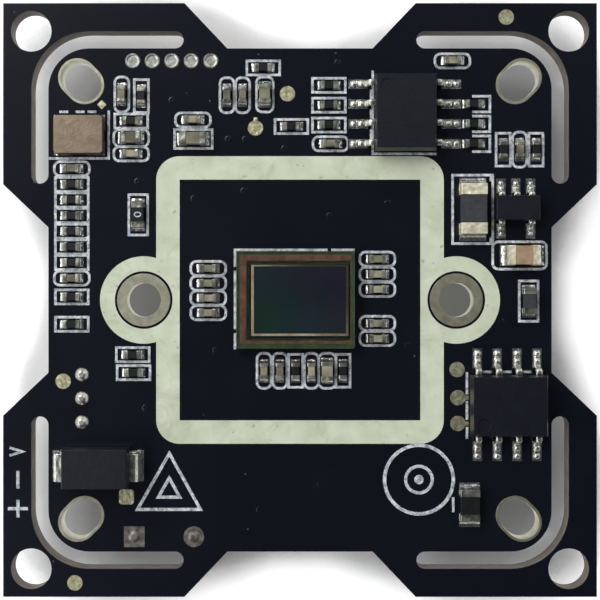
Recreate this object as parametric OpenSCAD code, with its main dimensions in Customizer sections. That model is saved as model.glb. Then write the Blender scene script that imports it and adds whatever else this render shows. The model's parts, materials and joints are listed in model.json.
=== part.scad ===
// Board camera module: a bare 38 mm circuit board with an image sensor at its centre.
// Origin: the optical axis, on the sensor side of the board. +Z points at the scene.
// All sizes are in millimetres.

/* [Board] */
// Width and height of the square board
board_size = 38; // [37.7:0.1:42]
// Thickness of the board
board_t = 1.6; // [0.8:0.2:2]
// Width of the rim that snaps off round the board's core
rim_w = 2.9; // [2.6:0.1:3.1]
// Width of the flat floor of each edge notch
notch_floor = 9.3; // [8:0.1:9.6]
// Width of an edge notch where it opens at the board's edge
notch_mouth = 14.8; // [14:0.1:15.2]
// Distance from the board's edges to the middle of a corner hole
corner_hole_inset = 1.8; // [1.5:0.05:1.85]
// Diameter of the round corner holes
corner_hole_d = 2.6; // [2.2:0.1:2.7]
// Distance from the core's edges to the middle of a mounting slot
mounting_inset = 2.1; // [2:0.05:2.4]
// Width of a mounting slot, inside its plating
mounting_slot_w = 2.15; // [2:0.05:2.4]
// End-to-end length of a mounting slot
mounting_slot_l = 2.8; // [2.6:0.1:3]
// Width of the L-shaped relief slots round the corners
relief_slot_w = 1.1; // [0.9:0.05:1.25]
// Web of board between an edge notch and the end of a relief slot
relief_end_web = 2.25; // [2:0.05:3.5]
// Web of board between a mounting slot's land and the relief slot
relief_web = 0.32; // [0.24:0.02:0.36]

/* [Lens holder footprint] */
// Spacing of the two lens-holder screw holes
lens_hole_spacing = 20; // [19:0.2:20.4]
// Diameter of the lens-holder screw holes
lens_hole_d = 2.2; // [2:0.1:2.6]
// Diameter of the tinned land round a screw hole
lens_land_d = 3.4; // [3.2:0.1:3.6]
// Outer width of the printed frame
frame_size = 18.4; // [17.6:0.2:18.6]
// Width of the frame's printed band
frame_band = 1.5; // [1:0.1:1.7]
// Outer corner radius of the printed frame
frame_corner_r = 1.5; // [1:0.1:2]
// Radius of the frame's ears round the screw holes
ear_r = 2.8; // [2.4:0.1:2.9]
// Bare gap between a land and the print round it
land_gap = 0.15; // [0.1:0.05:0.3]
// Narrowest band of print round the land of a screw hole
ring_band = 0.3; // [0.2:0.05:0.5]

/* [Print and lands] */
// Thickness of the printed ink
print_t = 0.03; // [0.02:0.01:0.04]
// Width of a printed line
print_line = 0.16; // [0.12:0.01:0.2]
// Thickness of a tinned land
land_t = 0.04; // [0.03:0.01:0.06]
// Thickness of the plating in a plated hole or slot
plating_t = 0.05; // [0.03:0.01:0.08]
// Width of the land round a plated slot
slot_land = 0.17; // [0.1:0.01:0.2]
// Length of the solder toe in front of a small chip's end cap
toe = 0.25; // [0.15:0.05:0.3]
// Length of the solder toe in front of a large chip's end cap
large_toe = 0.42; // [0.3:0.02:0.46]
// How far a land reaches past each side of its chip
land_side = 0.04; // [0.02:0.01:0.08]

/* [Image sensor] */
// Width of the sensor package
sensor_w = 7.5; // [7.3:0.05:7.6]
// Height of the sensor package, along the board's Y
sensor_d = 6.15; // [6:0.05:6.3]
// Distance of the package's middle from the optical axis
sensor_shift = 0.28; // [0.2:0.02:0.32]
// Width of the light-sensitive array
array_w = 5.86; // [5.6:0.02:5.9]
// Height of the light-sensitive array
array_d = 4.27; // [4:0.02:4.3]
// Diameter of a solder ball under the sensor
ball_d = 0.34; // [0.3:0.02:0.4]
// Thickness of the sensor's base layer
sensor_base_t = 0.16; // [0.1:0.02:0.2]
// Thickness of the silicon die
die_t = 0.1; // [0.08:0.01:0.12]
// Height of the dam that carries the cover glass
dam_t = 0.16; // [0.14:0.01:0.2]
// Thickness of the cover glass
glass_t = 0.4; // [0.3:0.05:0.5]

/* [Chips with two end caps] */
// Length, width and height of a small chip resistor
resistor_size = [1.0, 0.5, 0.35];
// Length, width and height of a small chip capacitor
capacitor_size = [1.0, 0.5, 0.5];
// Length, width and height of a filter capacitor
filter_size = [1.2, 0.75, 0.6];
// Length, width and height of the larger filter capacitor
large_filter_size = [1.6, 0.8, 0.8];
// Length, width and height of the jumper link
jumper_size = [1.6, 0.8, 0.45];
// Length, width and height of the small ferrite bead
small_bead_size = [1.6, 0.8, 0.7];
// Length, width and height of the bulk capacitor
bulk_size = [2.0, 1.25, 1.2];
// Length, width and height of the load resistor
load_size = [2.0, 1.25, 0.55];
// Length, width and height of the large ferrite bead
bead_size = [3.2, 1.65, 1.1];
// Share of a chip's length that each end cap covers
cap_share = 0.22; // [0.18:0.01:0.28]
// Wall thickness of an end cap
cap_wall = 0.03; // [0.02:0.01:0.05]
// Pitch of chips that stand side by side in a row
chip_pitch = 1.0; // [0.98:0.01:1.04]
// Gap from the side of a chip to the middle of its printed outline
outline_side = 0.2; // [0.15:0.01:0.24]
// Gap from a chip's solder to the middle of its printed outline
outline_end = 0.3; // [0.2:0.02:0.34]

/* [Crystal] */
// Length of the crystal's ceramic base
crystal_l = 3.2; // [3:0.05:3.3]
// Width of the crystal's ceramic base
crystal_w = 2.5; // [2.3:0.05:2.6]
// Height of the ceramic base
crystal_base_t = 0.45; // [0.3:0.05:0.6]
// Height of the metal lid
crystal_lid_t = 0.25; // [0.2:0.05:0.4]

/* [Leaded chips] */
// Width of an eight-lead chip's moulded body
so8_w = 3.9; // [3.7:0.05:4]
// Length of an eight-lead chip's moulded body
so8_l = 4.9; // [4.6:0.1:5]
// Height of an eight-lead chip's moulded body
so8_h = 1.45; // [1.2:0.05:1.6]
// Tip-to-tip width over an eight-lead chip's leads
so8_span = 6.0; // [5.8:0.1:6.2]
// Lead pitch of an eight-lead chip
so8_pitch = 1.27; // [1.2:0.01:1.3]
// Width of the small regulator's body
sot_w = 1.6; // [1.5:0.05:1.7]
// Length of the small regulator's body
sot_l = 2.9; // [2.7:0.05:3]
// Height of the small regulator's body
sot_h = 1.1; // [0.9:0.05:1.2]
// Tip-to-tip width over the small regulator's leads
sot_span = 2.8; // [2.7:0.05:2.9]
// Lead pitch of the small regulator
sot_pitch = 0.95; // [0.9:0.01:1]
// Length of the diode's moulded body
diode_l = 4.3; // [4:0.1:4.4]
// Width of the diode's moulded body
diode_w = 2.6; // [2.4:0.1:2.7]
// Height of the diode's moulded body
diode_h = 2.0; // [1.8:0.1:2.2]
// Width of the diode's bent terminals
diode_lead_w = 1.8; // [1.4:0.1:1.9]

/* [Back of the board] */
// Width of the image processor's square body
processor_w = 7; // [6.6:0.1:7.2]
// Height of the image processor's body
processor_h = 1.4; // [1:0.1:1.6]
// Tip-to-tip width over the processor's leads
processor_span = 9; // [8.8:0.1:9.2]
// Lead pitch of the processor
processor_pitch = 0.5; // [0.48:0.01:0.54]
// Leads on each side of the processor
processor_side_leads = 12; // [10:1:12]
// Width of the power inductor
inductor_w = 4; // [3.6:0.1:4.2]
// Height of the power inductor
inductor_h = 2.6; // [1.8:0.1:3]
// Height of the two header housings
header_h = 3.2; // [2.8:0.1:4]
// Wall thickness of the header housings
header_wall = 0.45; // [0.4:0.05:0.6]
// Depth of the header housings, across the row of pins
header_d = 3; // [2.8:0.1:3.1]
// Pin pitch of the five-pin signal header
signal_pitch = 1.25; // [1.2:0.01:1.27]
// Pin pitch of the three-pin power header
power_pitch = 1.53; // [1.45:0.01:1.6]

/* [Hidden] */
$fn = 48;

// Board outline and relief slots
board_half = board_size / 2;
core_half = board_half - rim_w;
corner_hole_at = board_half - corner_hole_inset;
mounting_at = core_half - mounting_inset;
cut_past = 1;
slot_line = core_half + relief_slot_w / 2;
relief_slot_reach = notch_floor / 2 + relief_slot_w / 2 + relief_end_web;
// The bend runs round the mounting slot, one web away from its land.
slot_land_reach = sqrt(2) * mounting_at + mounting_slot_l / 2 + slot_land + relief_web;
relief_bend_r = (sqrt(2) * core_half - slot_land_reach) / (sqrt(2) - 1);

// Places on the board: they are laid out for a core that reaches layout_half from the
// optical axis, and on another core they move nearer together or further apart.
layout_half = 16.1;
spread = core_half / layout_half;
function spots(list) = [for (p = list) [p[0] * spread, p[1] * spread, p[2]]];
function spot(x, y, turn = 0) = [x * spread, y * spread, turn];

// Header places: the tails of their pins are soldered on the sensor side.
signal_pins = 5;
signal_x = -core_half + 7.9;
signal_y = core_half - 0.8;
signal_pin_w = 0.4;
signal_hole_d = 0.7;
signal_pad_d = 1.0;
power_pins = 3;
power_x = -core_half + 2.15;
power_y = -6.3 * spread;
power_pin_w = 0.45;
power_hole_d = 0.8;
power_pad_d = 0.9;
dish_t = 0.1;
dish_floor_t = 0.04;
dome_t = 0.3;
dome_top_d = 0.3;

// Wire pads: one square, one round, for a two-wire lead
wire_pad_w = 1.32;
wire_pad_y = -core_half + 0.95;
square_pad_x = -core_half + 5.5;
wire_pad_spacing = 3.81;
wire_hole_d = 0.75;

// Test pads: round ones, round ones with a short stub of track, and a rounded square
test_pad_d = 0.98;
pad_edge = 0.9;
round_pads = concat(
    spots([[-0.8, 13.2, 0], [-15.15, -5.2, 0], [10.05, -4.45, 0]]),
    [[13.2 * spread, board_half - pad_edge, 0], [-14.4 * spread, pad_edge - board_half, 0]]
);
stub_pads = spots([[10.1, -6.25, 0], [10.1, -7.9, 0], [-2.85, 11.0, 90]]);
stub_l = 0.68;
stub_w = 0.26;
rounded_pad_place = spot(-11.1, -12.6);
rounded_pad_w = 0.96;

// Sensor stack
sensor_z = 0.24;
ball_columns = 8;
ball_rows = 6;
ball_margin = 0.65;
dam_wall_left = 0.58;
dam_wall_right = 0.22;
dam_wall_top = 0.62;
dam_wall_bottom = 0.52;
die_gap_left = 0.2;
die_gap_right = 0.06;
die_gap_top = 0.18;
die_gap_bottom = 0.14;
array_t = 0.01;
sensor_left = -sensor_shift - sensor_w / 2;
sensor_right = -sensor_shift + sensor_w / 2;
sensor_top = sensor_d / 2;
sensor_bottom = -sensor_d / 2;
die_z = sensor_z + sensor_base_t;
glass_z = die_z + dam_t;

// Leaded chips
so8_leads = 4;
so8_lead_w = 0.41;
so8_lead_t = 0.2;
so8_standoff = 0.15;
so8_foot = 0.5;
so8_shoulder = 0.3;
so8_land_out = 3.6;
so8_land_l = 1.25;
so8_land_w = 0.6;
pin_one_r = 0.42;
pin_one_depth = 0.08;
sot_lead_w = 0.4;
sot_lead_t = 0.13;
sot_standoff = 0.1;
sot_foot = 0.3;
sot_shoulder = 0.16;
sot_land_out = 1.92;
sot_land_l = 0.95;
sot_land_w = 0.6;
diode_lead_t = 0.2;
diode_lead_out = 0.42;
diode_foot = 0.9;
diode_land_w = 2.0;
diode_land_l = 1.75;
processor_lead_w = 0.22;
processor_lead_t = 0.13;
processor_standoff = 0.1;
processor_foot = 0.5;
processor_shoulder = 0.25;
processor_land_w = 0.28;
processor_land_l = 1.0;
diode_span = diode_l + 2 * (diode_lead_out + toe) + diode_lead_t;
mould_draft = 0.11;
lead_bend = 0.1;
climb_share = 0.7;
crystal_land = [1.1, 0.9];
toe_t = 0.12;

// Places of the leaded chips: x, y, angle
memory_place = [6.7 * spread, core_half - 4.2, 0];
driver_place = spot(13.25, -6.7, 90);
regulator_place = spot(13.8, 5.85);
diode_place = spot(-12.9, -10.6);
crystal_place = [-core_half + 1.98, 10.55 * spread, 0];

// Small chips: the column beside the left notch, from the top down
column_x = -core_half + 1.5;
column_top = 8.4;
column_count = 8;
function column_y(i) = (column_top - i * chip_pitch) * spread;
// Height of the memory chip's lead i, from the top down
function memory_row(i) = memory_place[1] + ((so8_leads - 1) / 2 - i) * so8_pitch;
series_x = memory_place[0] - 4.85;
pull_up_x = memory_place[0] + so8_land_out + 0.05 + toe + resistor_size[0] / 2;
// The row under the sensor, from the left
row_left = -2.3;
row_gap = 0.01;
row_y = -4.53;
function row_spot(i) = spot(row_left + i * (chip_pitch + row_gap), row_y, 90);

// Resistors at the memory chip's right-hand leads
pull_up_resistors = [for (i = [1 : so8_leads - 1]) [pull_up_x, memory_row(i), 0]];
boxed_resistors = concat(
    [for (i = [1 : column_count - 2]) [column_x, column_y(i), 0]],
    [for (y = [0.2, -1.55]) [column_x, y * spread, 0]],
    [for (i = [0 : 2]) [series_x, memory_row(i) - 0.07, 0]],
    [row_spot(2), row_spot(5)],
    spots([
        [-10.15, 13.05, 90], [-10.8, 11.45, 0], [-2.35, 14.85, 0], [-0.55, 11.1, 0],
        [13.0, 9.62, 90], [15.1, 9.62, 90], [-10.7, -3.5, 0], [-10.65, -4.65, 0]
    ])
);
small_resistors = concat(boxed_resistors, pull_up_resistors);
small_capacitors = concat(
    [for (i = [0, column_count - 1]) [column_x, column_y(i), 0]],
    [[series_x + 0.1, memory_row(3), 0], [memory_place[0] + 3.05, core_half - 0.8, 0]],
    [row_spot(0), row_spot(1), row_spot(3)],
    spots([
        [-11.4, 13.15, 90], [-10.8, 9.35, 0], [-4.67, 13.1, 90], [-3.67, 13.1, 90],
        [-6.85, 11.52, 0], [14.05, 9.62, 90]
    ]),
    spots([for (i = [0 : 3]) [-5.87, 2.02 - 0.945 * i, 0]]),
    spots([for (y = [2.62, 1.65, 0.68, -1.49, -2.46]) [4.95, y, 0]])
);
filter_capacitors = concat(spots([[-10.8, 10.37, 0], [-2.25, 13.15, 90]]), [row_spot(4)]);
large_filter_place = spot(-6.82, 10.3);
jumper_place = spot(-10.35, 5.45, 90);
small_bead_place = spot(14.63, -0.07, 90);
bulk_place = spot(14.2, 2.85);
load_place = spot(10.85, -13.1, 90);
bead_place = spot(11.05, 5.8, 90);

// Parts on the back
processor_place = [0, 0, 0];
inductor_place = spot(9, -10.5);
step_down_place = spot(3.2, -10.6);
back_filters = spots([[-2.2, -8.2, 90], [0.4, -8.2, 90], [4.5, 8.4, 0], [8.8, 8.4, 0]]);
inductor_chamfer = 0.8;
inductor_lead_t = 0.15;
inductor_lead_w = 1.4;
inductor_foot = 1.0;
inductor_land_w = 1.8;
header_floor_t = 0.8;
// The row of pins stands off the housing's middle, towards the board's edge.
header_row_shift = 0.7;
header_key_w = 1.0;
pin_recess = 0.8;

module place(p) {
    translate([p[0], p[1], 0]) rotate(p[2]) children();
}

module place_each(places) {
    for (p = places) place(p) children();
}

// Puts parts on the far side of the board, standing away from it.
module on_back() {
    translate([0, 0, -board_t]) mirror([0, 0, 1]) children();
}

module block(size, z) {
    translate([-size[0] / 2, -size[1] / 2, z]) cube(size);
}

module four_corners(distance) {
    for (a = [0 : 90 : 270]) rotate(a) translate([distance, distance]) children();
}

// ---- flat outlines ----

module rounded_rect(w, d, r) {
    square([w - 2 * r, d], center = true);
    square([w, d - 2 * r], center = true);
    for (x = [-1, 1], y = [-1, 1]) translate([x * (w / 2 - r), y * (d / 2 - r)]) circle(r);
}

module diagonal_slot(width, length) {
    rotate(45) {
        square([length - width, width], center = true);
        for (s = [-1, 1]) translate([s * (length - width) / 2, 0]) circle(width / 2);
    }
}

module edge_notch() {
    lean = (notch_mouth - notch_floor) / 2 / rim_w;
    flank = notch_mouth / 2 + lean * cut_past;
    polygon([
        [-notch_floor / 2, core_half], [notch_floor / 2, core_half],
        [flank, board_half + cut_past], [-flank, board_half + cut_past]
    ]);
}

// A square from the middle of the board outwards, its far corner rounded
module rounded_quadrant(reach, r) {
    square([reach, reach - r]);
    square([reach - r, reach]);
    translate([reach - r, reach - r]) circle(r);
}

// One relief slot, in the corner where x and y are positive
module relief_slot() {
    outer = core_half + relief_slot_w;
    arm_start = relief_slot_reach + relief_slot_w / 2;
    difference() {
        rounded_quadrant(outer, relief_bend_r + relief_slot_w);
        rounded_quadrant(core_half, relief_bend_r);
        square([arm_start, board_size]);
        square([board_size, arm_start]);
    }
    translate([arm_start, slot_line]) circle(relief_slot_w / 2);
    translate([slot_line, arm_start]) circle(relief_slot_w / 2);
}

module signal_pin_places() {
    for (i = [0 : signal_pins - 1])
        translate([signal_x + (i - (signal_pins - 1) / 2) * signal_pitch, signal_y]) children();
}

module power_pin_places() {
    for (i = [0 : power_pins - 1])
        translate([power_x, power_y + (i - (power_pins - 1) / 2) * power_pitch]) children();
}

module lens_hole_places() {
    for (s = [-1, 1]) translate([s * lens_hole_spacing / 2, 0]) children();
}

// ---- the board and what is plated or printed on it ----

module circuit_board() {
    color("#14161f") translate([0, 0, -board_t]) linear_extrude(board_t) difference() {
        square(board_size, center = true);
        for (a = [0 : 90 : 270]) rotate(a) edge_notch();
        for (a = [0 : 90 : 270]) rotate(a) relief_slot();
        four_corners(corner_hole_at) circle(corner_hole_d / 2);
        four_corners(mounting_at)
            diagonal_slot(mounting_slot_w + 2 * plating_t, mounting_slot_l + 2 * plating_t);
        lens_hole_places() circle(lens_hole_d / 2 + plating_t);
        signal_pin_places() circle(signal_hole_d / 2);
        power_pin_places() circle(power_hole_d / 2);
        for (x = [0, wire_pad_spacing])
            translate([square_pad_x + x, wire_pad_y]) circle(wire_hole_d / 2);
    }
}

// A plated hole: a barrel through the board and a flat land on each face.
// The first child is the hole, the second its barrel, the third its lands.
module eyelet() {
    translate([0, 0, -board_t]) linear_extrude(board_t) difference() {
        children(1);
        children(0);
    }
    for (z = [0, -board_t - land_t]) translate([0, 0, z]) linear_extrude(land_t) difference() {
        children(2);
        children(0);
    }
}

module lens_screw_lands() {
    color("#bdb7a4") lens_hole_places() eyelet() {
        circle(lens_hole_d / 2);
        circle(lens_hole_d / 2 + plating_t);
        circle(lens_land_d / 2);
    }
}

module mounting_slot_lands() {
    color("#c9c6b8") four_corners(mounting_at) eyelet() {
        diagonal_slot(mounting_slot_w, mounting_slot_l);
        diagonal_slot(mounting_slot_w + 2 * plating_t, mounting_slot_l + 2 * plating_t);
        slot_land_area();
    }
}

module slot_land_area(gap = 0) {
    margin = 2 * (slot_land + gap);
    diagonal_slot(mounting_slot_w + margin, mounting_slot_l + margin);
}

module lens_footprint_outline() {
    rounded_rect(frame_size, frame_size, frame_corner_r);
    lens_hole_places() circle(ear_r);
}

// The printed band keeps a ring round each screw hole and stays clear of the chips' lands.
module lens_footprint_print() {
    hole_r = lens_land_d / 2 + land_gap;
    color("#dfe3d0") linear_extrude(print_t) difference() {
        lens_footprint_outline();
        difference() {
            square(frame_size - 2 * frame_band, center = true);
            lens_hole_places() circle(hole_r + ring_band);
        }
        lens_hole_places() circle(hole_r);
        print_free_areas();
    }
}

// A small tab that touches the land of one mounting slot
module slot_tab() {
    tab_w = 0.42;
    linear_extrude(land_t) difference() {
        translate([1.32 - mounting_at, mounting_at - 1.5]) rotate(45)
            square(tab_w, center = true);
        translate([-mounting_at, mounting_at]) rotate(90) slot_land_area();
        place(crystal_place) chip_area([crystal_l, crystal_w], 0);
    }
}

module test_pads() {
    color("#c8c4ae") {
        place_each(round_pads) cylinder(h = land_t, d = test_pad_d);
        place_each(stub_pads) linear_extrude(land_t) {
            circle(test_pad_d / 2);
            translate([0, -stub_w / 2]) square([stub_l, stub_w]);
        }
        place(rounded_pad_place) linear_extrude(land_t)
            rounded_rect(rounded_pad_w, rounded_pad_w, 0.2);
        slot_tab();
    }
}

// A hole filled with solder, with a pad on each face
module filled_pad(square_pad) {
    for (z = [0, -board_t - land_t]) translate([0, 0, z]) {
        if (square_pad) block([wire_pad_w, wire_pad_w, land_t], 0);
        else cylinder(h = land_t, r = wire_pad_w / 2);
    }
    translate([0, 0, -board_t]) cylinder(h = board_t, r = wire_hole_d / 2);
    translate([0, 0, land_t]) cylinder(h = 0.08, r1 = wire_hole_d / 2, r2 = wire_hole_d / 4);
}

module wire_pads() {
    color("#a9a79d") {
        translate([square_pad_x, wire_pad_y, 0]) filled_pad(true);
        translate([square_pad_x + wire_pad_spacing, wire_pad_y, 0]) filled_pad(false);
    }
}

// Solder round a pin's tail: it fills the hole and wets the pad on the sensor side.
module pin_joint(pad_d, hole_d, pin_w) {
    difference() {
        translate([0, 0, -board_t]) cylinder(h = board_t, r = hole_d / 2);
        translate([0, 0, -board_t - cut_past])
            linear_extrude(board_t + cut_past) square(pin_w, center = true);
    }
    children();
}

module header_solder_joints() {
    color("#c4c3ba") {
        signal_pin_places() pin_joint(signal_pad_d, signal_hole_d, signal_pin_w)
            difference() {
                cylinder(h = dish_t, r1 = signal_pad_d / 2, r2 = signal_pad_d / 2 - dish_t / 2);
                translate([0, 0, dish_floor_t])
                    cylinder(h = dish_t, r1 = signal_pad_d / 2 - 2 * dish_t,
                             r2 = signal_pad_d / 2 - dish_t / 2);
            }
        power_pin_places() pin_joint(power_pad_d, power_hole_d, power_pin_w)
            rotate_extrude() polygon([
                [0, 0], [power_pad_d / 2, 0], [power_pad_d / 2 - 0.05, 0.1],
                [dome_top_d / 2 + 0.1, dome_t - 0.06], [dome_top_d / 2, dome_t], [0, dome_t]
            ]);
    }
}

// ---- printed outlines of the components ----

module box_print(w, d) {
    difference() {
        square([w + print_line, d + print_line], center = true);
        square([w - print_line, d - print_line], center = true);
    }
}

module arched_print(w, d) {
    r = 0.36;
    difference() {
        rounded_rect(w + print_line, d + print_line, r + print_line / 2);
        rounded_rect(w - print_line, d - print_line, r - print_line / 2);
    }
}

// A straight printed line between two points that share an x or a y
module line_print(a, b) {
    low = [min(a[0], b[0]), min(a[1], b[1])];
    size = [abs(a[0] - b[0]), abs(a[1] - b[1])];
    translate(low - [print_line, print_line] / 2) square(size + [print_line, print_line]);
}

print_gap = 0.05;
print_break = 0.2;
arch_rise = 0.07;
function outline_length(size) = size[0] + 2 * (toe + outline_end);
function outline_width(size) = size[1] + 2 * outline_side;

module chip_outlines() {
    resistor_w = outline_width(resistor_size);
    resistor_l = outline_length(resistor_size);
    capacitor_l = outline_length(capacitor_size) + 2 * arch_rise;
    place_each(boxed_resistors) box_print(resistor_l, resistor_w);
    place_each(small_capacitors) arched_print(capacitor_l, outline_width(capacitor_size));
    place_each(filter_capacitors) arched_print(capacitor_l, chip_pitch + 0.06);
    // The pull-up resistors' outlines are open towards the memory chip.
    place_each(pull_up_resistors) {
        end = resistor_l / 2;
        side = chip_pitch / 2;
        for (s = [-side, side]) line_print([0, s], [end, s]);
        line_print([end, -side], [end, side]);
    }
}

module large_chip_outlines() {
    side_room = 0.2;
    end_room = 0.24;
    place(large_filter_place)
        box_print(outline_length(large_filter_size) - 0.3, large_filter_size[1] + 0.4);
    for (chip = [[jumper_place, jumper_size], [small_bead_place, small_bead_size]])
        place(chip[0]) box_print(chip[1][0] + 2 * (toe + end_room), chip[1][1] + 2 * side_room);
    place(bulk_place) translate([-0.15, 0])
        arched_print(bulk_size[0] + 2 * large_toe + 0.6, bulk_size[1] + 0.5);
    place(bead_place) {
        frame_l = bead_size[0] + 2 * (large_toe + 0.17);
        frame_w = bead_size[1] + 0.92;
        box_print(frame_l, frame_w);
        for (s = [-1, 1]) translate([s * (frame_l / 2 - 0.2), -frame_w / 2 + 0.1])
            square([0.4, 0.2], center = true);
    }
    translate([load_place[0] - load_size[1] / 2 - 0.42, load_place[1]])
        line_print([0, -0.4], [0, 0.4]);
}

module memory_outline() {
    edge = so8_w / 2 + 0.1;
    top = so8_l / 2 + 0.25;
    bottom = -so8_l / 2 - 0.1;
    place(memory_place) {
        line_print([-edge, bottom], [-edge, top]);
        line_print([-edge, bottom], [so8_w / 2, bottom]);
        for (i = [0 : so8_leads - 2]) translate([-edge - 0.1, (1 - i) * so8_pitch])
            line_print([0, -0.22], [0, 0.22]);
    }
}

module driver_outline() {
    edge = so8_l / 2 + 0.12;
    translate([driver_place[0], driver_place[1]]) {
        for (y = [[-2.1, -1.5], [-0.9, 0.15], [0.75, 2.0]])
            line_print([-edge, y[0]], [-edge, y[1]]);
        for (x = [-1, 0, 1]) translate([x * so8_pitch, so8_w / 2 + 0.15])
            line_print([-0.2, 0], [0.2, 0]);
    }
}

module crystal_outline() {
    right = crystal_l / 2 + 0.28;
    low = -crystal_w / 2 - 0.24;
    place(crystal_place) {
        line_print([-right, low], [right, low]);
        line_print([right, low], [right, -low]);
        for (x = [-1.0, 0.05, 0.8]) line_print([x - print_break, -low], [x + print_break, -low]);
    }
}

module sensor_outline() {
    left = sensor_left - print_line / 2 - print_gap;
    top = sensor_top + print_line / 2 + print_gap;
    side = sensor_d * 0.325;
    notch_x = sensor_w * 0.25;
    for (y = [[top, side + print_break], [side - print_break, print_break - side],
              [-side - print_break, sensor_bottom]])
        line_print([left, y[0]], [left, y[1]]);
    line_print([left, top], [notch_x - print_break, top]);
    line_print([notch_x + print_break, top], [sensor_right - print_gap, top]);
}

module component_outline_print() {
    color("#d6dbdc") linear_extrude(print_t) difference() {
        union() {
            chip_outlines();
            large_chip_outlines();
            memory_outline();
            driver_outline();
            crystal_outline();
            sensor_outline();
        }
        lens_footprint_band();
        print_free_areas();
    }
}

// The area of the lens frame, which the component outlines keep clear of
module lens_footprint_band() {
    difference() {
        lens_footprint_outline();
        square(frame_size - 2 * frame_band, center = true);
    }
}

// ---- chips with two end caps ----

function cap_length(size) = size[0] * cap_share;

// The ceramic body: it fits inside the end caps' walls
module chip_body(size) {
    inside = size - 2 * cap_wall * [1, 1, 1];
    block(inside, land_t + cap_wall);
}

module chip_caps(size) {
    difference() {
        for (s = [-1, 1]) translate([s * (size[0] - cap_length(size)) / 2, 0, 0])
            block([cap_length(size), size[1], size[2]], land_t);
        chip_body(size);
    }
}

// Land under each end cap, and the solder that climbs the cap's end face
module chip_joints(size, toe_l = toe) {
    climb = min(toe_l, size[2] * climb_share);
    land_l = cap_length(size) + toe_l;
    land_w = size[1] + 2 * land_side;
    for (s = [0, 180]) rotate(s) {
        translate([size[0] / 2 - cap_length(size), -land_w / 2, 0]) cube([land_l, land_w, land_t]);
        translate([size[0] / 2, size[1] / 2, land_t]) rotate([90, 0, 0])
            linear_extrude(size[1]) difference() {
                square(climb);
                translate([climb, climb]) circle(climb);
            }
    }
}

// The flat area that a chip and its lands take up, with a bare gap round it
module chip_area(size, toe_l = toe) {
    room = [2 * (toe_l + print_gap), 2 * (land_side + print_gap)];
    square([size[0], size[1]] + room, center = true);
}

// What both prints keep clear of: chips with their lands, pads and the slots' lands
module print_free_areas() {
    place_each(small_resistors) chip_area(resistor_size);
    place_each(small_capacitors) chip_area(capacitor_size);
    place_each(filter_capacitors) chip_area(filter_size);
    place(large_filter_place) chip_area(large_filter_size);
    place(jumper_place) chip_area(jumper_size);
    place(small_bead_place) chip_area(small_bead_size);
    place(bulk_place) chip_area(bulk_size, large_toe);
    place(load_place) chip_area(load_size, large_toe);
    place(bead_place) chip_area(bead_size, large_toe);
    place(crystal_place) chip_area([crystal_l, crystal_w], 0);
    place(memory_place) so8_land_areas();
    place(driver_place) so8_land_areas();
    place(regulator_place) sot_land_areas(sot_three, sot_two);
    place(diode_place) square([diode_span, diode_land_w] + print_gap * [2, 2], center = true);
    place_each(concat(round_pads, stub_pads)) circle(test_pad_d / 2 + print_gap);
    place(rounded_pad_place) square(rounded_pad_w + 2 * print_gap, center = true);
    signal_pin_places() circle(signal_pad_d / 2 + print_gap);
    power_pin_places() circle(power_pad_d / 2 + print_gap);
    four_corners(mounting_at) slot_land_area(print_gap);
}

module small_resistor_bodies() {
    color("#20222a") place_each(small_resistors) chip_body(resistor_size);
}

module small_resistor_terminals() {
    color("#b4b6b8") place_each(small_resistors) chip_caps(resistor_size);
}

module small_capacitor_bodies() {
    color("#9a8f76") place_each(small_capacitors) chip_body(capacitor_size);
}

module small_capacitor_terminals() {
    color("#c3c4bf") place_each(small_capacitors) chip_caps(capacitor_size);
}

module filter_capacitor_bodies() {
    color("#7c7869") {
        place_each(filter_capacitors) chip_body(filter_size);
        place(large_filter_place) chip_body(large_filter_size);
    }
}

module filter_capacitor_terminals() {
    color("#b9bab2") {
        place_each(filter_capacitors) chip_caps(filter_size);
        place(large_filter_place) chip_caps(large_filter_size);
    }
}

module jumper_link_body() {
    color("#1d1f27") place(jumper_place) chip_body(jumper_size);
}

module jumper_link_terminals() {
    color("#b4b6b8") place(jumper_place) chip_caps(jumper_size);
}

module small_bead_body() {
    color("#23262c") place(small_bead_place) chip_body(small_bead_size);
}

module small_bead_terminals() {
    color("#b4b6b8") place(small_bead_place) chip_caps(small_bead_size);
}

module bulk_capacitor_body() {
    color("#b08d5c") place(bulk_place) chip_body(bulk_size);
}

module bulk_capacitor_terminals() {
    color("#cfcdbd") place(bulk_place) chip_caps(bulk_size);
}

module load_resistor_body() {
    color("#1b1c22") place(load_place) chip_body(load_size);
}

module load_resistor_terminals() {
    color("#bcbcb6") place(load_place) chip_caps(load_size);
}

module ferrite_bead_body() {
    color("#3a4048") place(bead_place) chip_body(bead_size);
}

module ferrite_bead_terminals() {
    color("#c2bda9") place(bead_place) chip_caps(bead_size);
}

module chip_solder() {
    color("#a8aaa6") {
        place_each(small_resistors) chip_joints(resistor_size);
        place_each(small_capacitors) chip_joints(capacitor_size);
        place_each(filter_capacitors) chip_joints(filter_size);
        place(large_filter_place) chip_joints(large_filter_size);
        place(jumper_place) chip_joints(jumper_size);
        place(small_bead_place) chip_joints(small_bead_size);
        place(bulk_place) chip_joints(bulk_size, large_toe);
        place(load_place) chip_joints(load_size, large_toe);
        place(bead_place) chip_joints(bead_size, large_toe);
        place(crystal_place) crystal_lands();
    }
}

// ---- crystal ----

// Four lands under the corners, each reaching a little past the ceramic base
module crystal_lands() {
    land_l = crystal_land[0] + land_side;
    land_w = crystal_land[1] + land_side;
    outer = [crystal_l / 2 + land_side, crystal_w / 2 + land_side];
    for (x = [-1, 1], y = [-1, 1])
        translate([x * (outer[0] - land_l / 2), y * (outer[1] - land_w / 2)])
            block([land_l, land_w, land_t], 0);
}

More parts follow.
